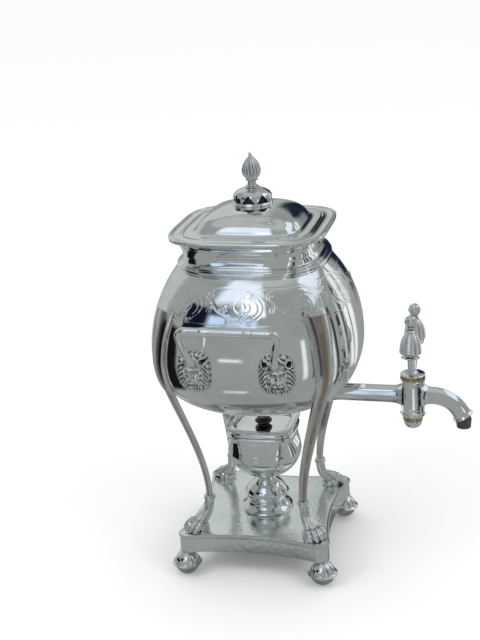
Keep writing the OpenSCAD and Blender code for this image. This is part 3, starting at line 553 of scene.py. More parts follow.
def body_ring(angles, z, inset=0.0):
    return soft_square(angles, body_half(z, inset), body_share(z), z)


def body_depth(x, y, z):
    """How far a point stands outside the body's skin, in mm, measured level."""
    p = power(body_share(z))
    return (abs(x) ** p + abs(y) ** p) ** (1 / p) - body_half(z)


def even_angles(z, n):
    """Angles of n points that are evenly spaced round the body at height z, and its girth there."""
    a = np.linspace(0, TAU, 2001)
    steps = np.linalg.norm(np.diff(body_ring(a, z), axis=0), axis=1)
    s = np.concatenate([[0], np.cumsum(steps)])
    return np.interp(np.arange(n) * s[-1] / n, s, a), s[-1]


# The engraved band: its edges, its repeats, how far along the first one starts, and its fineness
BAND_LOW, BAND_TOP = WIDEST + 43, SHOULDER - 5
BAND_UNITS = 10
BAND_TURN = 8.0
BAND_POINTS = 1080
BAND_ROWS = 50
CUT_DEEP = 0.3


def stroke(points, w0, w1, steps=14):
    """A cut line through the points, w0 wide at its start and w1 at its end."""
    line = np.array(spline(points, steps))
    return line, np.linspace(w0, w1, len(line))


def volute_strokes(r):
    """An open ring, a spiral in it and a flower in its middle."""
    ring = [(1.22 * r * 0.92 * math.cos(t), 0.92 * r * math.sin(t)) for t in np.linspace(-2.6, 1.7, 19)]
    turns = 1.5 * TAU
    spiral = []
    for t in np.linspace(0, turns, 30):
        q = r * 0.74 * (1 - 0.8 * t / turns)
        spiral.append((1.2 * q * math.cos(-0.9 + t), q * math.sin(-0.9 + t)))
    cuts = [stroke(ring, 0.3, 0.6, 3), stroke(spiral, 0.5, 0.3, 3)]
    for k in range(5):
        t = k * TAU / 5
        tip = (1.7 * math.cos(t + 0.3), 1.5 * math.sin(t + 0.3))
        cuts.append(stroke([(0, 0), (0.9 * math.cos(t), 0.9 * math.sin(t)), tip], 0.45, 0.2, 4))
    return cuts


def leaf_strokes(p, d, side, r):
    """Three strokes of an acanthus leaf at a place on the stem, with curls on two of them."""
    normal = np.array([-d[1], d[0]]) * side
    size = r * (0.62 if side > 0 else 0.56)
    cuts = []
    for m, lean in enumerate((0.25, 0.55, 0.9)):
        s = size * (1.0 - 0.2 * m)
        tip = p + normal * s + d * s * lean
        tip[1] = max(-r, min(r, tip[1]))
        mid = p + normal * s * 0.62 + d * s * (lean - 0.28)
        cuts.append(stroke([p, mid, tip], 0.5, 0.22, 7))
        if m != 1:
            turn = np.linspace(0, 5, 7)
            curl = [tip + 0.75 * np.array([math.cos(t), math.sin(t)]) * (1 - t / 9) for t in turn]
            cuts.append(stroke(curl, 0.3, 0.2, 2))
    return cuts


def scroll_strokes(width, r):
    """Cut lines of one unit of a running leaf scroll, in mm along and up the band."""
    cuts = volute_strokes(r)
    # the stem comes from the top of the last scroll and runs under this one
    stem = [
        (-width + 1, r * 0.92), (-width + 9, r * 0.84), (-width / 2 - 4, r * 0.3), (-width / 2 + 4, -r * 0.3),
        (-9, -r * 0.86), (0, -r * 0.97), (9, -r * 0.86)
    ]
    line = np.array(spline(stem, 12))
    cuts.append((line, np.full(len(line), 0.6)))
    cuts.append((line + np.array([0.7, 1.1]), np.full(len(line), 0.34)))
    for k, at in enumerate(np.linspace(0.16, 0.88, 7)):
        i = int(at * (len(line) - 1))
        d = line[i + 1] - line[i - 1]
        d /= np.linalg.norm(d)
        cuts += leaf_strokes(line[i], d, 1 if k % 2 else -1, r)
    return cuts


def cut_depth(along, up, width, reach):
    """How deep the burin has cut, 0 to 1, at places along and up the band."""
    unit = along - width * np.floor(along / width)
    flat_u, flat_v = unit.reshape(-1), up.reshape(-1)
    best = np.zeros(flat_u.shape)
    for line, widths in scroll_strokes(width, reach):
        for shift in (0, width, -width, 2 * width):
            a = line[:-1] + np.array([shift + width / 2, 0])
            b = line[1:] + np.array([shift + width / 2, 0])
            lo_x, hi_x = min(a[:, 0].min(), b[:, 0].min()) - 1, max(a[:, 0].max(), b[:, 0].max()) + 1
            near = np.where((flat_u > lo_x) & (flat_u < hi_x))[0]
            if hi_x < 0 or lo_x > width or not len(near):
                continue
            pu, pv = flat_u[near][:, None], flat_v[near][:, None]
            dx, dy = (b - a).T
            length_2 = np.maximum(dx * dx + dy * dy, 1e-9)
            t = np.clip(((pu - a[:, 0]) * dx + (pv - a[:, 1]) * dy) / length_2, 0, 1)
            d = np.hypot(pu - (a[:, 0] + t * dx), pv - (a[:, 1] + t * dy))
            best[near] = np.maximum(best[near], np.clip(1 - d / widths[:-1], 0, 1).max(1))
    # two border lines below the scroll and one above it
    lines = ((-1.08, 0.45), (-1.3, 0.35), (1.1, 0.4))
    borders = [np.clip(1 - np.abs(up - reach * at) / w, 0, 1) for at, w in lines]
    return np.maximum.reduce([best.reshape(along.shape), *borders])


def urn_body():
    wide = even_angles(WIDEST, 240)[0]
    lows = [WIDEST - DROP * math.sin(math.radians(80 * (1 - i / 40))) for i in range(41)]
    ups = list(np.linspace(WIDEST, BAND_LOW, 26))[1:]
    mesh = Mesh()
    rings = [body_ring(wide, z) for z in lows + ups]
    base, _, n = mesh.grid(rings)
    mesh.pole(base, n, rings[0].mean(0), top=False)
    inner_z = list(np.linspace(BODY_LOW + 2.4, WIDEST, 16)) + list(np.linspace(WIDEST, SHOULDER, 16))[1:]
    inner = [body_ring(wide, z, SHEET) for z in inner_z]
    base, m, n = mesh.grid(inner[::-1])
    mesh.pole(base + (m - 1) * n, n, inner[0].mean(0))
    mesh.piece("urn_body", PLATE, "urn", ["body"])


def engraved_band():
    """The shoulder, with points fine enough for the burin's lines."""
    mid = (BAND_LOW + BAND_TOP) / 2
    angles, length = even_angles(mid, BAND_POINTS)
    zs = np.linspace(BAND_LOW, SHOULDER, BAND_ROWS)
    halves = np.array([body_half(z) for z in zs])
    up = np.concatenate([[0], np.cumsum(np.hypot(np.diff(zs), np.diff(halves)))])
    centre = np.interp(mid, zs, up)
    reach = (np.interp(BAND_TOP, zs, up) - up[0]) / 2 / 1.2
    along = np.tile(np.arange(BAND_POINTS) * length / BAND_POINTS - BAND_TURN, (BAND_ROWS, 1))
    above = np.tile((up - centre)[:, None], (1, BAND_POINTS))
    depth = cut_depth(along, above, length / BAND_UNITS, reach)
    band = []
    for i, z in enumerate(zs):
        ring = body_ring(angles, z)
        out = ring / np.linalg.norm(ring[:, :2], axis=1)[:, None]
        ring[:, :2] -= (out * (CUT_DEEP * depth[i])[:, None])[:, :2]
        band.append(ring)
    engraved = Mesh()
    engraved.grid(band, value=depth)
    engraved.piece("engraved_band", ENGRAVED, "urn", ["shoulder"], value_name="cut", sharp=60)


# ------------------------------------------------------------ neck and rim
NECK_HALF = body_half(SHOULDER)
NECK_SHARE = body_share(SHOULDER)
WAIST_HALF = 61.0
WAIST_SHARE = 0.55
RIM_SHARE = 0.55


def urn_neck():
    k, w, z0 = NECK_HALF - 1.0, WAIST_HALF, SHOULDER
    h = RIM_LOW - z0
    foot = moved([(-0.6, -0.6), (1.5, 0.2), (1.9, 0.8), (1.3, 1.3), (0.3, 1.5)], k, z0)
    bead = arc(k - 0.4, z0 + 3.0, 1.4, -78, 78, 8)
    steps = moved([
        (-0.6, 4.6), (-0.5, 5.1), (-1.2, 5.5), (-1.9, 5.8), (-2.1, 6.1), (-2.0, 6.6), (-2.6, 7.0), (-3.4, 7.3)
    ], k, z0)
    wall = spline([
        (k - 3.4, z0 + 7.3), (k - 5.4, z0 + 8.6), (w + 1.0, z0 + 10.6), (w, z0 + h * 0.48),
        (w + 0.6, z0 + h * 0.64), (w + 2.4, z0 + h * 0.8), (w + 5.2, z0 + h * 0.93),
        (PLATE_HALF - 1.4, z0 + h * 0.995)
    ], 6)
    lining = [(k - 1.8, z0)] + moved(wall, -SHEET)
    rings = []
    for half, z in foot + bead + steps + wall[1:] + lining[::-1]:
        t = min(1, 2 * (z - z0) / h)
        rings.append(square_ring(half, NECK_SHARE + (WAIST_SHARE - NECK_SHARE) * t, z, 200))
    mesh = Mesh()
    mesh.grid(rings)
    mesh.piece("urn_neck", PLATE, "urn", ["neck", "neck_moulding"])


def urn_rim():
    t, edge = RIM_TOP, RIM_HALF
    profile = moved([(-3.4, -0.1), (-0.6, 0.15), (0.4, 0.35)], PLATE_HALF, RIM_LOW)
    profile += moved([
        (-0.9, -1.5), (-0.15, -1.15), (0, -0.55), (-0.3, 0.02), (-0.9, 0.2), (-1.7, 0.15), (-2.1, -0.25),
        (-2.4, -0.25), (-2.8, 0.1), (-3.3, 0.16), (-3.8, 0.08), (-4.1, -0.3), (-4.6, -0.45), (-7.5, -0.75)
    ], edge, t)
    profile += moved([(2.4, -0.6), (1.3, -0.1), (0.5, 0), (0, -0.3)], OPENING_HALF, t)
    profile += moved([(0, 1.4), (-2.6, 1.4), (-2.6, 0)], OPENING_HALF, RIM_LOW)
    profile += [(PLATE_HALF - 3.4, RIM_LOW)]
    mesh = Mesh()
    mesh.grid([square_ring(h, RIM_SHARE - 0.07 * (edge - h) / 13, z, 240) for h, z in profile])
    mesh.piece("urn_rim", PLATE, "urn", ["rim"])
    line = square_ring(edge - 1.25, RIM_SHARE, RIM_LOW + 1.0, 400)
    bead_row("rim_beading", "rim_bead", spaced(line, 2.75), 1.15)


# --------------------------------------------------------------------- lid
LID_SHARE = 0.48
LID_T = 1.6
# Share of the lid's half width, share of its rise and corner share, from the seam to the vent
LID_STEPS = [
    (0.875, 0.03, 0.48), (0.845, 0.055, 0.49), (0.82, 0.12, 0.5), (0.795, 0.26, 0.51), (0.755, 0.44, 0.53),
    (0.69, 0.62, 0.56), (0.6, 0.775, 0.62), (0.48, 0.9, 0.74), (0.37, 0.97, 0.87), (0.3, 1.0, 0.93),
    (0.2, 1.0, 0.97), (0.09, 1.0, 0.98)
]


def lid_rings(steps, n, inset=0.0):
    rise = LID_TOP - RIM_TOP
    dome = spline(LID_STEPS, steps)
    return [square_ring(LID_HALF * s - inset, c, RIM_TOP + rise * up - inset, n) for s, up, c in dome]


def cushion_lid():
    border = [(1.0, RIM_LOW + 1.9)]
    border += moved([(1.0, 0.1), (0.994, 0.45), (0.98, 0.6), (0.93, 0.55), (0.89, 0.5)], 0, RIM_TOP)
    mesh = Mesh()
    rings = [square_ring(LID_HALF * s, LID_SHARE, z, 200) for s, z in border] + lid_rings(7, 200)
    base, m, n = mesh.grid(rings)
    mesh.pole(base + (m - 1) * n, n, (0, 0, LID_TOP))
    under = [square_ring(LID_HALF * 0.97, LID_SHARE, RIM_LOW + 1.9, 100)] + lid_rings(3, 100, LID_T)
    base, m, n = mesh.grid(under[::-1])
    mesh.pole(base, n, (0, 0, LID_TOP - LID_T), top=False)
    mesh.piece("cushion_lid", PLATE, "lid", ["lid"])


# The vent's wall, its sheet, its height, its openings and the round crown above them
VENT_WALL = VENT_R - 0.7
VENT_T = 1.1
VENT_H = VENT_TOP - LID_TOP
TEETH = 8
TOOTH_LOW, TOOTH_TOP = 3.0, 10.6
CROWN = 8.6
CROWN_AT = VENT_H - CROWN


def vent_radius(h):
    """Radius of the vent's wall at a height above the lid."""
    return VENT_WALL * math.sqrt(max(0.0, 1 - (max(0.0, h - CROWN_AT) / CROWN) ** 2))


def vent_tooth(mesh, k, rows=7, cols=8):
    """Metal between two openings: an outer and an inner skin and the two cut edges."""
    pitch = TAU / TEETH
    thin = 1 - VENT_T / VENT_WALL
    grid = []
    for i in range(rows + 1):
        h = TOOTH_LOW - 0.2 + (TOOTH_TOP - TOOTH_LOW + 0.2) * i / rows
        open_half = pitch * 0.46 * (1 - i / rows)
        angles = [k * pitch + open_half + (pitch - 2 * open_half) * j / cols for j in range(cols + 1)]
        r = vent_radius(h)
        grid.append([(r * math.cos(a), r * math.sin(a), LID_TOP + h) for a in angles])
    mesh.grid(grid, around=False)
    mesh.grid([[(x * thin, y * thin, z) for x, y, z in reversed(row)] for row in grid], around=False)
    for e in (0, cols):
        outer = [row[e] for row in grid]
        inner = [(x * thin, y * thin, z) for x, y, z in outer]
        mesh.grid([outer, inner] if e else [inner, outer], around=False)


def vent_dome(mesh):
    dome = [(vent_radius(h), h) for h in np.linspace(TOOTH_TOP, VENT_H - 0.3, 16)]
    mesh.grid(turned(moved(dome + [(4.0, VENT_H), (3.0, VENT_H)], 0, LID_TOP)))
    lining = [(vent_radius(TOOTH_TOP) - VENT_T, TOOTH_TOP - 0.05)] + moved(dome[:-1], -VENT_T, -1.0)
    mesh.grid(turned(moved(lining + [(2.4, VENT_H - 2.2)], 0, LID_TOP))[::-1])


def zigzag_vent():
    mesh = Mesh()
    ring = moved([
        (-1.2, 0.05), (0.6, 0.05), (0.7, 0.5), (0.45, 1.1), (0.2, 1.3), (0.35, 1.7), (0.6, 2.2), (0.3, 2.8),
        (-0.3, TOOTH_LOW), (-1.2, TOOTH_LOW), (-1.2, 0.05)
    ], VENT_WALL, LID_TOP)
    mesh.grid(turned(ring))
    for k in range(TEETH):
        vent_tooth(mesh, k)
    vent_dome(mesh)
    mesh.piece("zigzag_vent", PLATE, "lid", ["vent_cap"])


def vent_inside():
    # A black sheet inside the vent: painted shade that shows through its openings.
    wall = [(VENT_WALL - 2.4, 0.3), (VENT_WALL - 2.4, CROWN_AT), (vent_radius(TOOTH_TOP) - 2.6, TOOTH_TOP)]
    lathe("vent_inside", VENT_SHADE, "lid", "", moved(wall, 0, LID_TOP), n=64, closed=False)


# Radius and share of the finial's height, from its collar to its bent tip
BUD = [
    (4.2, 0.225), (6.6, 0.29), (8.2, 0.37), (8.75, 0.46), (8.4, 0.56), (7.1, 0.67), (4.9, 0.78), (2.6, 0.86),
    (1.5, 0.91), (1.1, 0.955), (0.55, 0.985), (0.15, 1.0)
]
BUD_RIBS = 15
TIP_BEND = 1.3


def reeded_finial():
    z0, h = VENT_TOP, TIP_Z - VENT_TOP
    base = [(5.6, -0.4), (6.6, -0.1), (6.7, 0.4), (6.2, 0.8), (5.2, 1.2)]
    stem = spline([(5.2, 1.2), (4.2, 2.2), (3.8, 4.2), (4.2, 6.0)], 4)
    collar = [(5.4, 6.3), (5.9, 6.8), (5.4, 7.3), (4.4, 7.6)]
    mesh = Mesh()
    mesh.grid(turned(moved(base + stem[1:] + collar, 0, z0), n=72))
    bud = spline(BUD, 6)

    def fluted(a, i):
        z = bud[i][1]
        deep = 0.13 * min(1, (z - 0.22) / 0.06) * max(0.0, min(1, (0.9 - z) / 0.1))
        return 1 - deep * (1 - np.abs(np.sin(BUD_RIBS * (a + 0.5 * z) / 2)) ** 0.8)

    rings = turned([(r, z0 + h * z) for r, z in bud], n=BUD_RIBS * 12, wobble=fluted)
    for ring, (r, z) in zip(rings, bud):
        ring[:, 0] -= TIP_BEND * max(0.0, (z - 0.86) / 0.14) ** 1.5
    first, m, n = mesh.grid(rings)
    mesh.pole(first + (m - 1) * n, n, (-TIP_BEND, 0, TIP_Z))
    mesh.piece("reeded_finial", CHASED, "lid", ["finial"], sharp=50)


# -------------------------------------------------------------------- legs
# The straps end on the body at LEG_TOP, leave it at LEAVE_Z and stand on the paws' ankles
LEG_TOP = WIDEST + 47
LEAVE_Z = WIDEST - 30
ANKLE = FOOT_AT * math.sqrt(2) - 29
ANKLE_H = 27.8
ANKLE_Z = PLINTH_TOP + ANKLE_H
STRAP_LOW = ANKLE_Z + 4
STRAP_T = 3.4


def on_diagonal(corner):
    """Cosine and sine of the way out to a corner, counted counter-clockwise from the back right."""
    turn = math.radians(45 + 90 * corner)
    return math.cos(turn), math.sin(turn)


def body_diagonal(z):
    s = body_share(z)
    return body_half(z) * ((1 - s) * math.sqrt(2) + s)


def strap_path():
    """(Distance from the axis, height) of the strap's back, free below LEAVE_Z and on the body above it."""
    leave = np.array([body_diagonal(LEAVE_Z) + 0.15, LEAVE_Z])
    p0 = np.array([ANKLE - STRAP_T / 2, STRAP_LOW])
    p1, p2 = p0 + np.array([0, 38]), leave - np.array([9, 27])
    free = []
    for t in np.linspace(0, 1, 31)[:-1]:
        free.append((1 - t) ** 3 * p0 + 3 * t * (1 - t) ** 2 * p1 + 3 * t * t * (1 - t) * p2 + t**3 * leave)
    return free + [np.array([body_diagonal(z) + 0.15, z]) for z in np.linspace(LEAVE_Z, LEG_TOP, 34)]


def strap_width(z):
    if z > LEAVE_Z:
        return 15 + 9 * ((z - LEAVE_Z) / (LEG_TOP - LEAVE_Z)) ** 1.4
    return 7 + 8 * (z - STRAP_LOW) / (LEAVE_Z - STRAP_LOW)


def strap_outline(w):
    """Cross-section of half width w with a reed along each side, as (outward, across) pairs."""
    reed = min(1.5, w * 0.3)
    shares = [(0, 0), (0.6, 0), (0.93, 0.3), (1, 0.55), (0.93, 0.85), (0.7, 1.15), (0.72, 1.5)]
    edge = [(STRAP_T * a, -w + reed * b) for a, b in shares]
    inner = w - reed * 1.5
    crown = [(STRAP_T * (0.72 + 0.12 * (1 - u * u)), u * inner) for u in (-0.7, -0.35, 0, 0.35, 0.7)]
    return edge + crown + [(a, -b) for a, b in reversed(edge)]


def strap_leg(name, corner):
    path = strap_path()
    cs, sn = on_diagonal(corner)
    rings, marks = [], []
    for i, (px, pz) in enumerate(path):
        d = path[min(i + 1, len(path) - 1)] - path[max(i - 1, 0)]
        out = np.array([1.0, 0.0]) if i == 0 else np.array([d[1], -d[0]]) / np.linalg.norm(d)
        w = strap_width(pz) / 2
        hug = 0.0 if pz < LEAVE_Z else min(1.0, (pz - LEAVE_Z) / 12)
        ring, mark = [], []
        for q, y in strap_outline(w):
            r, z = px + q * out[0] - hug * y * y / 165, pz + q * out[1]
            ring.append((r * cs - y * sn, r * sn + y * cs, z))
            mark.append(abs(y) / w)
        rings.append(ring)
        marks.append(mark)
    mesh = Mesh()
    base, m, n = mesh.grid(rings[::-1], value=marks[::-1])
    mesh.faces.append(list(range(base, base + n))[::-1])
    mesh.faces.append(list(range(base + (m - 1) * n, base + m * n)))
    mesh.piece("strap_" + name, STRAP, "urn", [name], value_name="across", sharp=30)


# -------------------------------------------------------------------- paws
def capsule(bm, a, b, ra, rb, seg=14):
    """Adds a rounded bar between two points with a radius at each end."""
    a, b = np.array(a, float), np.array(b, float)
    d = b - a
    d = d / np.linalg.norm(d)
    side = np.cross(d, (0, 1, 0) if abs(d[1]) < 0.9 else (1, 0, 0))
    side /= np.linalg.norm(side)
    top = np.cross(d, side)
    rows = [(a - d * ra * math.sin(t), ra * math.cos(t)) for t in np.radians((80, 50, 20))]
    rows += [(a + (b - a) * t, ra + (rb - ra) * t) for t in (0, 0.5, 1)]
    rows += [(b + d * rb * math.sin(t), rb * math.cos(t)) for t in np.radians((20, 50, 80))]
    around = np.arange(seg) * TAU / seg
    loops = []
    for c, r in rows:
        loops.append([bm.verts.new(c + r * math.cos(t) * side + r * math.sin(t) * top) for t in around])
    for p, q in zip(loops, loops[1:]):
        for j in range(seg):
            bm.faces.new((p[j], p[(j + 1) % seg], q[(j + 1) % seg], q[j]))
    bm.faces.new(loops[0][::-1])
    bm.faces.new(loops[-1])


def melted(bars, voxel, smooth):
    """Points and faces of one skin round many overlapping bars, from a voxel remesh."""
    bm = bmesh.new()
    for bar in bars:
        capsule(bm, *bar)
    bmesh.ops.recalc_face_normals(bm, faces=bm.faces)
    mesh = bpy.data.meshes.new("raw_bars")
    bm.to_mesh(mesh)
    bm.free()
    obj = placed("raw_bars", mesh)
    remesh = obj.modifiers.new("skin", "REMESH")
    remesh.mode = "VOXEL"
    remesh.voxel_size = voxel
    relax = obj.modifiers.new("relax", "SMOOTH")
    relax.iterations = smooth
    relax.factor = 0.5
    graph = bpy.context.evaluated_depsgraph_get()
    done = bpy.data.meshes.new_from_object(obj.evaluated_get(graph))
    points = np.array([v.co for v in done.vertices])
    faces = [list(p.vertices) for p in done.polygons]
    bpy.data.objects.remove(obj)
    bpy.data.meshes.remove(mesh)
    bpy.data.meshes.remove(done)
    return points, faces


def toe_bars(y, back, r):
    """Bars of one toe: two knuckles, the tip, a claw and the sinew that leads up to the ankle."""
    x = ANKLE + 26.5 - back
    return [
        ((x - 12, y * 0.55, 8.6), (x - 7.4, y * 0.86, 7.4), 1.9, r),
        ((x - 7.4, y * 0.86, 6.6), (x - 3.4, y, 4.6), r, r * 0.98),
        ((x - 3.4, y, 4.2), (x - 1.2, y, 2.6), r * 0.98, r * 0.8),
        ((x - 0.6, y, 3.4), (x + 1.6, y, 1.2), 1.25, 0.45),
        ((ANKLE + 2.6, y * 0.28, ANKLE_H - 9), (x - 11, y * 0.6, 9.4), 1.3, 1.8)
    ]


def lion_paw_shape():
    """Paw on its own axes: X outward along the diagonal, Z up from the plinth's top."""
    x, z = ANKLE, ANKLE_H
    bars = [
        ((x, 0, z - 1), (x + 0.8, 0, z - 9), 4.5, 4.0), ((x + 0.8, 0, z - 9), (x + 4.5, 0, z - 15), 4.0, 5.0),
        ((x + 4.5, 0, z - 15), (x + 12, 0, 6.2), 5.0, 6.2), ((x + 12, 0, 5.4), (x + 17, 0, 4.2), 6.4, 5.0),
        ((x + 13, -5, 3.2), (x + 13, 5, 3.2), 4.6, 4.6), ((x + 8, -4, 2.5), (x + 8, 4, 2.5), 3.6, 3.6)
    ]
    for y, back, r in ((-8.6, 2.4, 2.9), (-3.0, 0.3, 3.25), (3.0, 0.3, 3.25), (8.6, 2.4, 2.9)):
        bars += toe_bars(y, back, r)
    for t in (-0.9, -0.3, 0.3, 0.9):
        high_end = (x + 3.6 * math.cos(t), 4.0 * math.sin(t), z - 2)
        low_end = (x + 1.2 + 4.4 * math.cos(t), 4.6 * math.sin(t), z - 9)
        bars.append((high_end, low_end, 1.3, 0.5))
    return melted(bars, 0.5, 7)


def lion_paw(name, corner, shape):
    points, faces = shape
    cs, sn = on_diagonal(corner)
    px, py = points[:, 0], points[:, 1]
    pz = np.maximum(points[:, 2], -0.2) + PLINTH_TOP - 0.25
    mesh = Mesh()
    mesh.add(np.stack([px * cs - py * sn, px * sn + py * cs, pz], 1), faces)
    collar = []
    for up, r in ((1.0, 5.9), (3.1, 5.5)):
        bulge = np.radians(np.linspace(-85, 85, 9))
        collar += [(r - 1.4 + 1.2 * math.cos(t), ANKLE_Z + up + 1.05 * math.sin(t)) for t in bulge]
    collar = [(3, ANKLE_Z - 0.4)] + collar + [(3, ANKLE_Z + 4.1)]
    mesh.closed(turned(collar, ANKLE * cs, ANKLE * sn, 40))
    mesh.piece("lion_" + name, CHASED, "urn", [name], sharp=70)


# -------------------------------------------------------- handles and masks
def handle_path(side):
    """Points along a handle, from one mask up, along the bar and down to the other mask."""
    y, z, half = side * BAR_Y, BAR_Z, MASK_X + 5
    low_y, low_z = side * (BODY_HALF + 8), WIDEST + 14.5
    bend = [(-9, 0, 0), (-4, 0, -0.2), (-0.2, -0.5, -2.4), (1.0, -1.2, -7), (-1.2, -3.4, -16)]
    bend.append((-3.6, -8, -26))
    bend = [(half + a, y + side * b, z + c) for a, b, c in bend]
    right = spline(bend + [(MASK_X + 0.3, low_y, low_z), (MASK_X, low_y - side * 5, low_z - 5)], 8)
    left = [(-a, b, c) for a, b, c in right[::-1]]
    return np.array(left + [(x, y, z) for x in np.linspace(-half + 10.5, half - 10.5, 60)] + right)


def handle_radius(p):
    """Radius of the handle at a point of its path. The bar has two reeded bands."""
    drop = BAR_Z - p[2]
    r = 3.9 - 0.9 * min(1, drop / 8) + 1.5 * max(0, (drop - 24) / 12)
    for band in (-19.5, 19.5):
        d = p[0] - band
        if drop < 0.1 and abs(d) < 3.4:
            r += 0.16 + 0.34 * abs(math.sin(d * math.pi / 1.7))
    return r


def scroll_handle(name, side):
    path = handle_path(side)

    def ridged(a, i):
        drop = min(1, max(0, (BAR_Z - path[i][2] - 5) / 6))
        return 1 + 0.085 * drop * np.cos(4 * a)

    mesh = Mesh()
    mesh.closed(swept(path, [handle_radius(p) for p in path], 32, ridged, up=(0, 1, 0)))
    mesh.piece("scroll_" + name, PLATE, "urn", [name], sharp=60)


MASK_U, MASK_V = 16.2, 18.6
MASK_Z = WIDEST + 1.5
MASK_TILT = math.radians(14)
# Bumps and hollows of the face: mm right and up, half width, half height, height and sharpness
FACE_BASE = [(0, -1.0, 8.2, 11.0, 3.6, 5), (0, 8.2, 5.4, 3.6, 1.8, 2)]
FACE_SIDES = [
    (3.9, 5.2, 3.2, 1.6, 2.8, 2), (4.2, 2.0, 2.5, 1.5, -3.6, 2), (4.2, 1.8, 1.1, 0.8, 1.9, 2),
    (5.6, -3.4, 2.2, 2.8, 1.6, 2), (2.9, -7.0, 2.9, 2.4, 3.6, 2), (1.5, -5.0, 0.8, 0.7, -1.6, 2),
    (7.6, -10.5, 1.8, 3.8, 1.8, 2)
]
FACE_MIDDLE = [
    (0, 1.0, 1.7, 5.4, 2.6, 2), (0, -4.0, 2.7, 1.7, 4.0, 2), (0, -7.0, 1.5, 1.8, 1.4, 2),
    (0, -6.4, 0.45, 1.8, -1.8, 2), (0, -12.2, 3.0, 1.8, 2.6, 2), (0, 9.2, 0.6, 2.8, -1.4, 2)
]


def mask_edge(angle):
    p = 2.9
    return 1 / ((np.abs(np.cos(angle)) / MASK_U) ** p + (np.abs(np.sin(angle)) / MASK_V) ** p) ** (1 / p)


def mane_relief(u, v, angle, rho):
    """Long slanted locks that turn down at the sides and hang at the bottom, and a short inner row."""
    lean = (np.abs(u) * 0.62 + v * 0.78) / 3.3 + 0.55 * np.sin(np.abs(u) * 0.42)
    hang = u / 2.6 + 0.3 * np.sin(v * 0.5)
    low_part = np.clip((-v - 8.5) / 4.0, 0, 1)
    locks = np.abs(np.sin(math.pi * lean)) ** 0.6 * (1 - low_part)
    locks += np.abs(np.sin(math.pi * hang)) ** 0.6 * low_part
    inner = np.abs(np.sin(angle * 7 + 0.6 * np.sign(u + 1e-9))) * np.exp(-(((rho - 0.52) / 0.09) ** 2))
    return 2.7 * locks * np.clip((rho - 0.56) / 0.14, 0, 1) + 1.1 * inner


def face_relief(u, v):
    faces = FACE_BASE + [(s * cu, *rest) for s in (-1, 1) for cu, *rest in FACE_SIDES] + FACE_MIDDLE
    h = 0.0
    for cu, cv, ru, rv, height, sharp in faces:
        d = ((u - cu) / ru) ** 2 + ((v - cv) / rv) ** 2
        h = h + height * np.exp(-(d ** (sharp / 2)))
    for s in (-1, 1):
        ear = np.hypot(u - s * 10.6, v - 12.0)
        h += 3.8 * np.exp(-(((ear - 3.0) / 1.25) ** 2)) - 5.6 * np.exp(-((ear / 2.1) ** 4))
    mouth = np.exp(-(((v + 9.7 + 0.05 * u * u) / 0.8) ** 2)) * np.clip((5.2 - np.abs(u)) / 0.8, 0, 1)
    return h - 4.2 * mouth


def lion_relief(u, v):
    """Height of the lion's face above the body's skin, at mm right of and above its middle."""
    angle = np.arctan2(v, u)
    rho = np.hypot(u, v) / mask_edge(angle)
    h = 5.4 * np.sqrt(np.clip(1 - (rho * 0.95) ** 5, 0, 1))
    h += mane_relief(u, v, angle, rho) + face_relief(u, v)
    # the mane's ragged edge drops to the skin
    ragged = 1.0 + 0.05 * np.sin(angle * 23 + 2 * np.sin(angle * 3))
    return h * np.clip((ragged - rho) / 0.1, 0, 1) ** 0.45


def above_skin(q, out, h):
    """Point h mm above the body's skin, met from q along the direction out."""
    d = 0.0
    for _ in range(3):
        d += body_depth(*(q - out * d)) / 0.97
    return q - out * d + out * h


def face_outward(obj, inside):
    """Turns the faces away from a point inside the piece."""
    bm = bmesh.new()
    bm.from_mesh(obj.data)
    bmesh.ops.recalc_face_normals(bm, faces=bm.faces)
    votes = sum(1 if f.normal.dot(f.calc_center_median() - inside) > 0 else -1 for f in bm.faces)
    if votes < 0:
        bmesh.ops.reverse_faces(bm, faces=bm.faces)
    bm.to_mesh(obj.data)
    bm.free()


def lion_mask(name, sx, sy, rows=62, around=190):
    a = np.arange(around) * TAU / around
    across = np.array([math.cos(MASK_TILT) * sx, -math.sin(MASK_TILT) * sy, 0.0])
    out = np.array([math.sin(MASK_TILT) * sx, math.cos(MASK_TILT) * sy, 0.0])
    p = power(body_share(MASK_Z))
    origin = np.array([MASK_X * sx, (body_half(MASK_Z) ** p - MASK_X**p) ** (1 / p) * sy, MASK_Z])
    grid = []
    for i in range(rows + 1):
        reach = 1.02 * (i + 0.4) / (rows + 0.4) * mask_edge(a)
        u, v = reach * np.cos(a), reach * np.sin(a)
        h = np.full(around, -0.8) if i == rows else lion_relief(u, v)
        row = [above_skin(origin + across * u[k] + np.array([0, 0, v[k]]), out, h[k]) for k in range(around)]
        grid.append(row[::-1] if sx * sy < 0 else row)
    grid = grid[::-1]
    mesh = Mesh()
    base, m, n = mesh.grid(grid)
    mesh.pole(base + (m - 1) * n, n, np.mean(grid[-1], axis=0))
    obj = mesh.piece("lion_" + name, CHASED, "urn", [name], sharp=80)
    face_outward(obj, Vector((origin + out * 4) * MM))


# --------------------------------------------------------------------- tap
AHEAD, ACROSS, UPWARD = (1, 0, 0), (0, 1, 0), (0, 0, 1)
SPOUT_R = 30
SPOUT_BEND = BARREL_X + 11.4 * 0.9 + 8
SPOUT_TURN = math.radians(60)


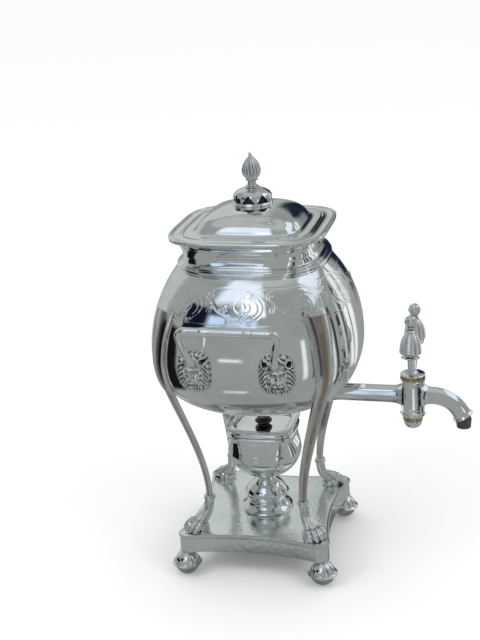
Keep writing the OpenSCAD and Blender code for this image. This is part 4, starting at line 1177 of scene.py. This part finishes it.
def tap_tube():
    start = body_half(TAP_Z) - 2
    end = BARREL_X - 10.2
    profile = moved([
        (-4, 9.2), (-1, 10.4), (0.6, 11.6), (2.2, 11.7), (3.2, 10.9), (4.2, 10.2), (5.4, 9.7), (7.5, 9.2)
    ], start)
    profile += [(x, 8.8) for x in np.linspace(start + 13, end - 15, 6)]
    profile += spline([(end - 11, 8.85), (end - 6, 9.2), (end - 2.5, 10.2), (end + 1.0, 11.8)], 4)
    mesh = Mesh()
    mesh.closed(octagon_rings([((x, 0, TAP_Z), ACROSS, UPWARD, r) for x, r in profile]))
    mesh.piece("faceted_tube", PLATE, "urn", ["tap_tube"], sharp=24)


def tap_barrel():
    z0, z1 = BARREL_LOW, BARREL_TOP
    foot = [(9.6, 0), (11.6, 0.3), (12.1, 0.9), (12.15, 2.6), (11.8, 3.3), (11.2, 3.8), (11.0, 4.6)]
    profile = moved(foot, 0, z0)
    profile += [(11.0 + 0.5 * abs((z - TAP_Z) / 18) ** 2, z) for z in np.linspace(z0 + 7, z1 - 7, 9)]
    profile += moved([(11.5, -5.2), (11.5, -4.3), (11.2, -3.2), (10.0, -3.0)], 0, z1)
    mesh = Mesh()
    mesh.closed(octagon_rings([((BARREL_X, 0, z), AHEAD, ACROSS, r) for r, z in profile]))
    mesh.piece("faceted_barrel", PLATE, "urn", ["tap_barrel"], sharp=24)


def brass_ring():
    profile = moved([
        (10.2, -3.1), (11.6, -3.05), (11.8, -2.6), (11.5, -2.2), (11.5, -1.8), (11.8, -1.4), (11.75, -0.5),
        (11.4, 0), (10.2, 0)
    ], 0, BARREL_TOP)
    lathe("brass_ring", BRASS, "urn", "barrel_ring", profile, BARREL_X, n=72, closed=False)


def tap_spout():
    neck = [(BARREL_X + 8.6, 12.6), (BARREL_X + 11.4, 10.6), (BARREL_X + 14.5, 9.1), (SPOUT_BEND, 8.7)]
    places = [((x, 0, TAP_Z), ACROSS, UPWARD, r) for x, r in spline(neck, 4)[:-1]]
    for t in np.linspace(0, SPOUT_TURN, 22):
        c, s = math.cos(t), math.sin(t)
        centre = (SPOUT_BEND + SPOUT_R * s, 0, TAP_Z - SPOUT_R + SPOUT_R * c)
        places.append((centre, ACROSS, (s, 0, c), 8.7 - 0.25 * math.sin(3 * t)))
    # past the bend the spout is straight, ends in a lip and turns back as its bore
    end = np.array(centre)
    mouth = spline([(1.0, 8.8), (2.6, 9.1), (4.0, 9.9), (4.9, 10.4)], 3)
    for d, r in mouth + [(5.4, 10.35), (5.5, 9.6), (5.1, 7.2), (1.0, 5.4), (-6, 5.0)]:
        places.append((end + np.array([c, 0, -s]) * d, ACROSS, (s, 0, c), r))
    mesh = Mesh()
    mesh.grid(octagon_rings(places))
    mesh.piece("faceted_spout", PLATE, "urn", ["spout"], sharp=24)


def spout_nozzle():
    profile = moved([
        (4.8, 12), (4.8, 0.8), (5.4, 0), (6.3, 0), (6.75, 0.6), (6.8, 1.6), (6.45, 2.1), (6.5, 2.7),
        (6.9, 3.2), (7.0, 4.6), (6.75, 5.2), (6.9, 6.0), (7.3, 7.4), (7.2, 8.4), (6.2, 11.5), (5.2, 12.0)
    ], 0, low("spout_nozzle", 2))
    x = middle("spout_nozzle", 0)
    lathe("drip_nozzle", NOZZLE, "urn", "spout_nozzle", profile, x, n=56, closed=False)


KEY_Z = BARREL_TOP + 0.3
FORK_R = 22
FORK_Z = KEY_Z + 2.6 + FORK_R - 1
TIP_LEAN = math.radians(9)


def plug_head():
    head = [(7.6, -10), (7.9, 0), (11.2, 0), (11.6, 0.5), (11.6, 1.3), (10.9, 1.9), (9.6, 2.3), (5.0, 2.7)]
    taper = [(2.9, -7), (2.9, 0), (6.4, 0), (7.0, 3)]
    mesh = Mesh()
    mesh.closed(turned(moved(head, 0, KEY_Z), BARREL_X, 0, 80))
    mesh.closed(turned(moved(taper, 0, low("tap_plug", 2) + 8) + [(7.9, KEY_Z - 1)], BARREL_X, 0, 48))
    mesh.piece("plug_head", PLATE, "tap_key", ["tap_plug"])


def on_tip(side, profile, n=56, wobble=None):
    """Rings of a turned piece that stands on one tip of the fork and leans inwards."""
    lean = TIP_LEAN * side
    origin = np.array([BARREL_X, side * FORK_R, FORK_Z])
    across = np.array([0, math.cos(lean), math.sin(lean)])
    axis = np.array([0, -math.sin(lean), math.cos(lean)])
    rings = turned(profile, 0, 0, n, wobble)
    return [origin + q[:, :1] * np.array(AHEAD) + q[:, 1:2] * across + q[:, 2:3] * axis for q in rings]


def beehive(word, side):
    """Bell of a knob, with ring after ring of beading."""
    outline = [
        (10.0, 6.4), (10.1, 8.5), (9.85, 11.5), (9.4, 14.5), (8.7, 17.5), (7.6, 20.2), (6.0, 22.8),
        (4.2, 24.8), (3.4, 25.2)
    ]
    bell = [(5.0, 5.0), (8.6, 5.3)]
    for r, h in spline(outline, 12):
        bell.append((r + 0.34 * abs(math.sin((h - 6.4) * math.pi / 2.05)) ** 0.8 - 0.3, h))
    mesh = Mesh()
    mesh.closed(on_tip(side, bell, 64))
    mesh.piece("beehive_" + word, PLATE, "tap_key", ["key_bell_" + word], sharp=60)


def acorn(word, side, at=35.5):
    """Lobed ball on top of a knob."""
    profile = [(3.9, 25.2), (4.3, 25.9), (3.7, 26.6), (2.9, 27.6), (2.8, 28.6), (3.7, 29.3), (3.9, 29.9)]
    profile += [(3.4, 30.4)] + arc(0, at, 5.75, -60, 76, 22) + [(0.9, at + 5.78)]

    def lobed(a, i):
        deep = 0.05 if 31.2 < profile[i][1] < 40 else 0.0
        return 1 - deep * (1 - np.abs(np.sin(5 * a)) ** 0.7)

    mesh = Mesh()
    mesh.closed(on_tip(side, profile, 60, lobed))
    mesh.piece("acorn_" + word, CHASED, "tap_key", ["key_ball_" + word], sharp=60)


def forked_lever():
    turns = np.radians(np.linspace(180, 360, 41))
    path = [(BARREL_X, FORK_R * math.cos(t), FORK_Z + FORK_R * math.sin(t)) for t in turns]
    disc = [
        (1.8, -0.8), (3.0, -0.6), (3.6, 0.2), (5.4, 0.9), (8.0, 1.6), (8.5, 2.0), (8.4, 2.6), (6.8, 3.1),
        (3.0, 3.9), (2.3, 5.0)
    ]
    mesh = Mesh()
    mesh.closed(swept(path, [2.5 + 0.5 * math.sin(math.pi * i / 40) for i in range(41)], 20, up=AHEAD))
    mesh.closed(turned(moved([(5.6, 2.3), (5.2, 3.0), (3.6, 4.2), (2.8, 5.4)], 0, KEY_Z), BARREL_X, 0, 40))
    for side in (-1, 1):
        mesh.closed(on_tip(side, disc))
        mesh.closed(on_tip(side, [(1.5, 3), (1.5, 36)], 16))
    mesh.piece("forked_lever", PLATE, "tap_key", ["tap_fork"])


def tap_nut():
    z = high("tap_nut", 2)
    dome = [(1.0, -8.4), (3.4, -8.1), (5.4, -7.2), (7.1, -5.8), (8.2, -3.8), (8.6, -2.0), (8.4, -0.5)]
    lathe("domed_nut", PLATE, "tap_key", "tap_nut", moved(dome + [(7.2, 0)], 0, z), BARREL_X, n=64)
    washer = moved([(6, 0), (9.2, 0.05), (9.4, 0.5), (9.4, 1.5), (9.2, 1.95), (6, 2)], 0, z)
    lathe("tap_disc", BRASS, "tap_key", "tap_washer", washer, BARREL_X, n=64)


def tap_key():
    plug_head()
    for side, word in {-1: "front", 1: "back"}.items():
        beehive(word, side)
        acorn(word, side)
    forked_lever()
    tap_nut()


# -------------------------------------------------------------------- lamp
def lamp_socket():
    r, z = SOCKET_R, PLINTH_TOP
    profile = moved([(-1.0, -0.2), (-0.2, 0.4), (0, 1.3)], r, z)
    profile += spline(moved([(-0.4, 2.1), (-2.6, 3.4), (-5.4, 6.2), (-6.3, 9.4), (-5.6, 12.4)], r, z), 6)
    profile += [(r - 5.2, SOCKET_TOP - 0.8), (r - 5.6, SOCKET_TOP), (15.6, SOCKET_TOP), (15.6, z + 3)]
    profile += [(0.5, z + 3)]
    lathe("lamp_socket_ring", PLATE, "urn", "lamp_socket", profile, closed=False)


def lamp_foot():
    s, r = LAMP_SEAT, LAMP_FOOT_R
    up = LAMP_LOW - s
    profile = moved([(14.3, -9), (15.2, -8), (15.2, 0)], 0, s)
    profile += moved([(-1.2, 0.02), (-0.2, 0.5), (0, 1.2), (-0.3, 1.9)], r, s)
    bell = [(r * q, s + up * t) for q, t in ((0.85, 0.34), (0.68, 0.54), (0.47, 0.7), (0.3, 0.83))]
    profile += spline(moved([(-1.2, 2.2), (-1.6, 4.0)], r, s) + bell, 6)
    profile += [(r * q, s + up * t) for q, t in ((0.25, 0.9), (0.3, 0.94), (0.25, 0.97), (0.27, 1))]
    lathe("lamp_stem", PLATE, "lamp", "lamp_foot", profile)


# Share of the reservoir's half width and of its height, from its bottom to its neck and round its lip
BOWL = [
    (0.15, 0.0), (0.34, 0.012), (0.56, 0.07), (0.75, 0.17), (0.89, 0.295), (0.965, 0.41), (1.0, 0.53),
    (0.98, 0.65), (0.93, 0.76), (0.885, 0.86), (0.87, 0.93)
]
BOWL_LIP = [(0.88, 0.945), (0.905, 0.955), (0.91, 0.972), (0.9, 0.99), (0.88, 1.0)]
BOWL_T = 1.6


def lamp_bowl():
    h = LAMP_TOP - LAMP_LOW
    outline = spline(BOWL, 6)

    def share(t):
        return 0.96 - 0.46 * max(0.0, (t - 0.62) / 0.38) ** 1.3

    rings = [square_ring(LAMP_HALF * q, share(t), LAMP_LOW + h * t) for q, t in outline]
    rings += [square_ring(LAMP_HALF * q, 0.5, LAMP_LOW + h * t) for q, t in BOWL_LIP]
    for q, t in [(0.88, 1.0)] + outline[::-1]:
        rings.append(square_ring(LAMP_HALF * q - 1.8, share(t), LAMP_LOW + h * t + BOWL_T * (1 - t)))
    mesh = Mesh()
    base, m, n = mesh.grid(rings)
    mesh.pole(base, n, (0, 0, LAMP_LOW), top=False)
    mesh.pole(base + (m - 1) * n, n, (0, 0, LAMP_LOW + BOWL_T))
    mesh.piece("lamp_reservoir", PLATE, "lamp", ["lamp_bowl"])


COVER_SEAT = low("lamp_cover", 2) + 4
COVER_RISE = COVER_TOP - COVER_SEAT
DISH_Z = COVER_SEAT + COVER_RISE * 0.34


def lamp_cover():
    c, top = COVER_HALF, COVER_TOP
    mouth = LAMP_HALF * 0.87 - 2.1
    steps = moved([(-1.4, 0.2), (-1.4, -4), (0, -4), (0, 0)], mouth, COVER_SEAT)
    steps += spline([
        (mouth + 1.4, COVER_SEAT + 0.1), (c - 3, COVER_SEAT + COVER_RISE * 0.3),
        (c - 1.0, COVER_SEAT + COVER_RISE * 0.66), (c - 0.3, top - 1.0)
    ], 4)
    steps += moved([(0, -0.6), (-0.1, -0.15), (-0.6, 0)], c, top)
    steps += spline(moved([(-1.2, -0.2), (-4.0, -1.0), (-7.4, -1.5)], c, top), 4)
    steps += moved([(-8.0, -1.9), (-8.5, -2.9)], c, top)
    steps += [(c - 9.0, COVER_SEAT + COVER_RISE * 0.36), (c - 9.8, DISH_Z), (6, DISH_Z)]
    mesh = Mesh()
    base, m, n = mesh.grid([square_ring(half, 0.5, z) for half, z in steps])
    mesh.pole(base + (m - 1) * n, n, (0, 0, DISH_Z))
    mesh.pole(base, n, (0, 0, COVER_SEAT + 0.2), top=False)
    mesh.piece("square_cover", MIRROR, "lamp_cover", ["lamp_cover"])


def lamp_knob():
    profile = [(5.4, 0), (5.7, 0.5), (5.0, 1.1)]
    profile += spline([(4.6, 1.5), (7.0, 2.1), (8.25, 3.2), (8.3, 4.0), (7.6, 4.8)], 5)
    profile += [(6.9, 5.1), (6.5, 5.2), (6.6, 5.7), (6.0, 6.4), (4.4, 7.1), (2.2, 7.45), (0.4, 7.5)]
    profile = moved(profile, 0, DISH_Z)
    lathe("turned_knob", EBONY, "lamp_cover", "lamp_knob", profile, n=80)


# ------------------------------------------------------------------- stage
def emitter(name, colour):
    """Even glow that fades out at the panel's edges."""
    look = Look(name)
    look.tree.nodes.clear()
    glow = look.node("Emission", {"Color": colour}).outputs[0]
    clear = look.node("BsdfTransparent").outputs[0]
    mix = look.node("MixShader", {0: look.attribute("cover"), 1: clear, 2: glow})
    look.node("OutputMaterial", {"Surface": mix.outputs[0]})
    return look.mat


# Height in metres of the point that the room's patches are placed round
SIGHT_Z = 0.24


def at_sight(azimuth, elevation, distance):
    """Place in metres seen from the urn's middle: azimuth from -Y towards +X, both angles in degrees."""
    a, e = math.radians(azimuth), math.radians(elevation)
    if e < 0:
        # nothing dips through the floor, and the nearer panels lie a little higher than the ones behind them
        distance = min(distance, (SIGHT_Z - 0.0035 + distance * 0.0012) / math.sin(-e))
    level = distance * math.cos(e)
    return (level * math.sin(a), -level * math.cos(a), SIGHT_Z + distance * math.sin(e))


def spread(lo, hi, soft):
    """Angles across a panel: its two edges and, inside the soft border, even steps."""
    edge = min(soft, (hi - lo) * 0.45)
    return [lo, *np.linspace(lo + edge, hi - edge, max(2, int((hi - lo) / 4))), hi]


def panel(name, turn, tilt, colour, distance, soft):
    """Glowing patch of the room between two azimuths and two elevations. It only shows in the metal."""
    across, along = spread(*turn, soft), spread(*tilt, soft)
    w, h = len(across), len(along)
    points = [at_sight(a, e, distance) for e in along for a in across]
    cover = [float(soft == 0 or (0 < i < w - 1 and 0 < j < h - 1)) for j in range(h) for i in range(w)]
    corners = [j * w + i for j in range(h - 1) for i in range(w - 1)]
    mesh = bpy.data.meshes.new(name)
    mesh.from_pydata(points, [], [(k, k + 1, k + w + 1, k + w) for k in corners])
    mesh.attributes.new("cover", "FLOAT", "POINT").data.foreach_set("value", np.array(cover, np.float32))
    obj = placed(name, mesh, emitter(name, colour))
    obj.visible_camera = False
    obj.visible_diffuse = False
    obj.visible_shadow = False


def floor(s=12):
    mesh = bpy.data.meshes.new("floor")
    mesh.from_pydata([(-s, -s, 0), (s, -s, 0), (s, s, 0), (-s, s, 0)], [], [(0, 1, 2, 3)])
    look = Look("floor", metal=0)
    look.base((0.97, 0.97, 0.97))
    look.rough(0.9)
    look.put(look.shader, "Specular IOR Level", 0.0)
    placed("floor", mesh, look.mat)


def world():
    sky = bpy.data.worlds.new("studio")
    bpy.context.scene.world = sky
    sky.use_nodes = True
    nodes = sky.node_tree.nodes
    nodes.clear()
    back = nodes.new("ShaderNodeBackground")
    back.inputs["Color"].default_value = (1, 1, 1, 1)
    back.inputs["Strength"].default_value = 1.0
    sky.node_tree.links.new(back.outputs[0], nodes.new("ShaderNodeOutputWorld").inputs["Surface"])


def area_light(name, at, size, watts, colour=(1, 1, 1)):
    """Rectangular light that points at the urn and isn't seen, in the picture or in the metal."""
    lamp = bpy.data.lights.new(name, "AREA")
    lamp.shape = "RECTANGLE"
    lamp.size, lamp.size_y = size
    lamp.energy = watts
    lamp.color = colour
    obj = placed(name, lamp)
    obj.location = at
    aim = Vector((0, 0, 0.2)) - Vector(at)
    obj.rotation_euler = aim.to_track_quat("-Z", "Y").to_euler()
    obj.visible_camera = False
    obj.visible_glossy = False


# Grey room with windows, dark furniture and a painted shadow on the floor under the urn, as the photo's metal
# shows it. Of each patch: its azimuths, its elevations, its colour, its distance in metres and its soft edge.
# Angles are in degrees.
ROOM = {
    "room": ((-180, 180), (-88, 88), (0.32, 0.335, 0.335), 2.4, 0),
    "room_high": ((-180, 180), (52, 86), (0.46, 0.49, 0.49), 2.3, 9),
    "room_back_left": ((-176, -128), (8, 56), (0.56, 0.6, 0.585), 2.2, 8),
    "room_left": ((-150, -98), (-30, 40), (0.5, 0.53, 0.52), 2.25, 9),
    "window_front": ((-34, 8), (33, 64), (0.84, 0.94, 1.06), 2.0, 7),
    "window_middle": ((-15, 6), (27, 44), (1.2, 1.24, 1.28), 1.98, 3),
    "window_low": ((-30, -3), (11, 26), (0.66, 0.84, 1.15), 1.95, 1.5),
    "window_post": ((-18, -16), (10, 27), (0.05, 0.06, 0.1), 1.93, 0.7),
    "window_right": ((82, 146), (29, 56), (0.82, 0.9, 1.0), 2.0, 4),
    "window_back": ((133, 155), (-30, 24), (0.92, 0.94, 0.94), 2.0, 3),
    "window_back_post": ((143, 146), (-30, 24), (0.02, 0.02, 0.03), 1.95, 1),
    "window_strip": ((40, 49), (-30, 10), (0.86, 0.92, 0.9), 1.9, 3),
    "curtain_1": ((94, 100), (-40, 26), (0.8, 0.84, 0.85), 1.85, 2),
    "curtain_2": ((101, 107), (-44, 20), (0.02, 0.023, 0.026), 1.8, 1.5),
    "curtain_3": ((113, 121), (-34, 8), (0.02, 0.023, 0.026), 1.8, 2),
    "curtain_4": ((121, 126), (-30, 16), (0.6, 0.63, 0.65), 1.8, 1.5),
    "curtain_5": ((127, 131), (-20, 20), (0.01, 0.012, 0.016), 1.8, 1),
    "dark_left_high": ((-60, -31), (9, 33), (0.004, 0.007, 0.02), 1.8, 2),
    "dark_left": ((-100, -60), (-46, 11), (0.006, 0.007, 0.009), 1.75, 4),
    "dark_bar": ((-34, -16), (25, 33), (0.02, 0.035, 0.09), 1.7, 3),
    "dark_right_post": ((54, 66), (-30, 34), (0.04, 0.05, 0.07), 1.8, 3),
    "dark_back": ((159, 186), (-12, 27), (0.012, 0.018, 0.035), 1.8, 5),
    # dark floor under the urn: painted shadow of the plinth, seen only in the metal
    "painted_floor_shadow": ((-180, 180), (-89, -63), (0.14, 0.15, 0.148), 1.55, 4),
    "pale_front": ((-19, -11), (-10.5, -7.5), (0.95, 0.97, 1.0), 1.5, 1),
    "pale_floor": ((-21, -8), (-44, -38), (0.75, 0.79, 0.82), 1.45, 3),
    "pale_floor_back": ((-176, -140), (-52, -20), (0.9, 0.92, 0.92), 1.5, 6)
}
# The camera as fitted to the photo, whose longer side of 640 pixels fills a sensor side of 36 mm
LENS = 1167.636 / 640 * 36
CAMERA_AZ, CAMERA_EL, CAMERA_ROLL = math.radians(14.703), math.radians(19.4), math.radians(3.129)
CAMERA_FAR, CAMERA_SLIDE, AIM_Z = 1.104613, -0.01755, 0.2402


def camera():
    az, el = CAMERA_AZ, CAMERA_EL
    back = Vector((math.sin(az) * math.cos(el), -math.cos(az) * math.cos(el), math.sin(el)))
    right = Vector((math.cos(az), math.sin(az), 0))
    up = back.cross(right)
    r = right * math.cos(CAMERA_ROLL) - up * math.sin(CAMERA_ROLL)
    u = right * math.sin(CAMERA_ROLL) + up * math.cos(CAMERA_ROLL)
    cam = bpy.data.cameras.new("camera")
    cam.lens = LENS
    cam.sensor_width = 36
    cam.clip_start = 0.01
    obj = placed("camera", cam)
    axes = Matrix((r, u, back)).transposed()
    obj.matrix_world = axes.to_4x4()
    obj.location = Vector((0, 0, AIM_Z)) + right * CAMERA_SLIDE + back * CAMERA_FAR
    bpy.context.scene.camera = obj


# ---------------------------------------------------------------- assembly
def dress_cad_nodes():
    """Materials on the CAD nodes that stay."""
    looks = {"brass": BRASS, "ebony": EBONY, "dark_ferrule": NOZZLE}
    looks.update(cotton_wick=COTTON, worn_plate=STRAP)
    slots = {p["node"]: p["material_slot"] for p in frame["record"]["subparts"]}
    for name, obj in frame["nodes"].items():
        obj.data.materials.clear()
        obj.data.materials.append(looks.get(slots.get(name), PLATE))


CORNERS = {"back_right": (1, 1), "back_left": (-1, 1), "front_left": (-1, -1), "front_right": (1, -1)}

camera()
world()
floor()
area_light("window_left", (-1.5, -1.3, 1.9), (0.7, 0.9), 9, (0.9, 0.95, 1.0))
area_light("window_right", (1.7, -0.9, 1.5), (0.5, 0.8), 6)
for name, patch in ROOM.items():
    panel(name, *patch)
dress_cad_nodes()
square_plinth()
urn_body()
engraved_band()
urn_neck()
urn_rim()
cushion_lid()
zigzag_vent()
vent_inside()
reeded_finial()
PAW = lion_paw_shape()
for corner, (word, (sx, sy)) in enumerate(CORNERS.items()):
    ball_foot("foot_" + word, sx, sy)
    lion_paw("paw_" + word, corner, PAW)
    strap_leg("leg_" + word, corner)
    lion_mask("mask_" + word, sx, sy)
scroll_handle("handle_front", -1)
scroll_handle("handle_back", 1)
tap_tube()
tap_barrel()
brass_ring()
tap_spout()
spout_nozzle()
tap_key()
lamp_socket()
lamp_foot()
lamp_bowl()
lamp_cover()
lamp_knob()

bpy.context.scene.view_settings.view_transform = "Standard"
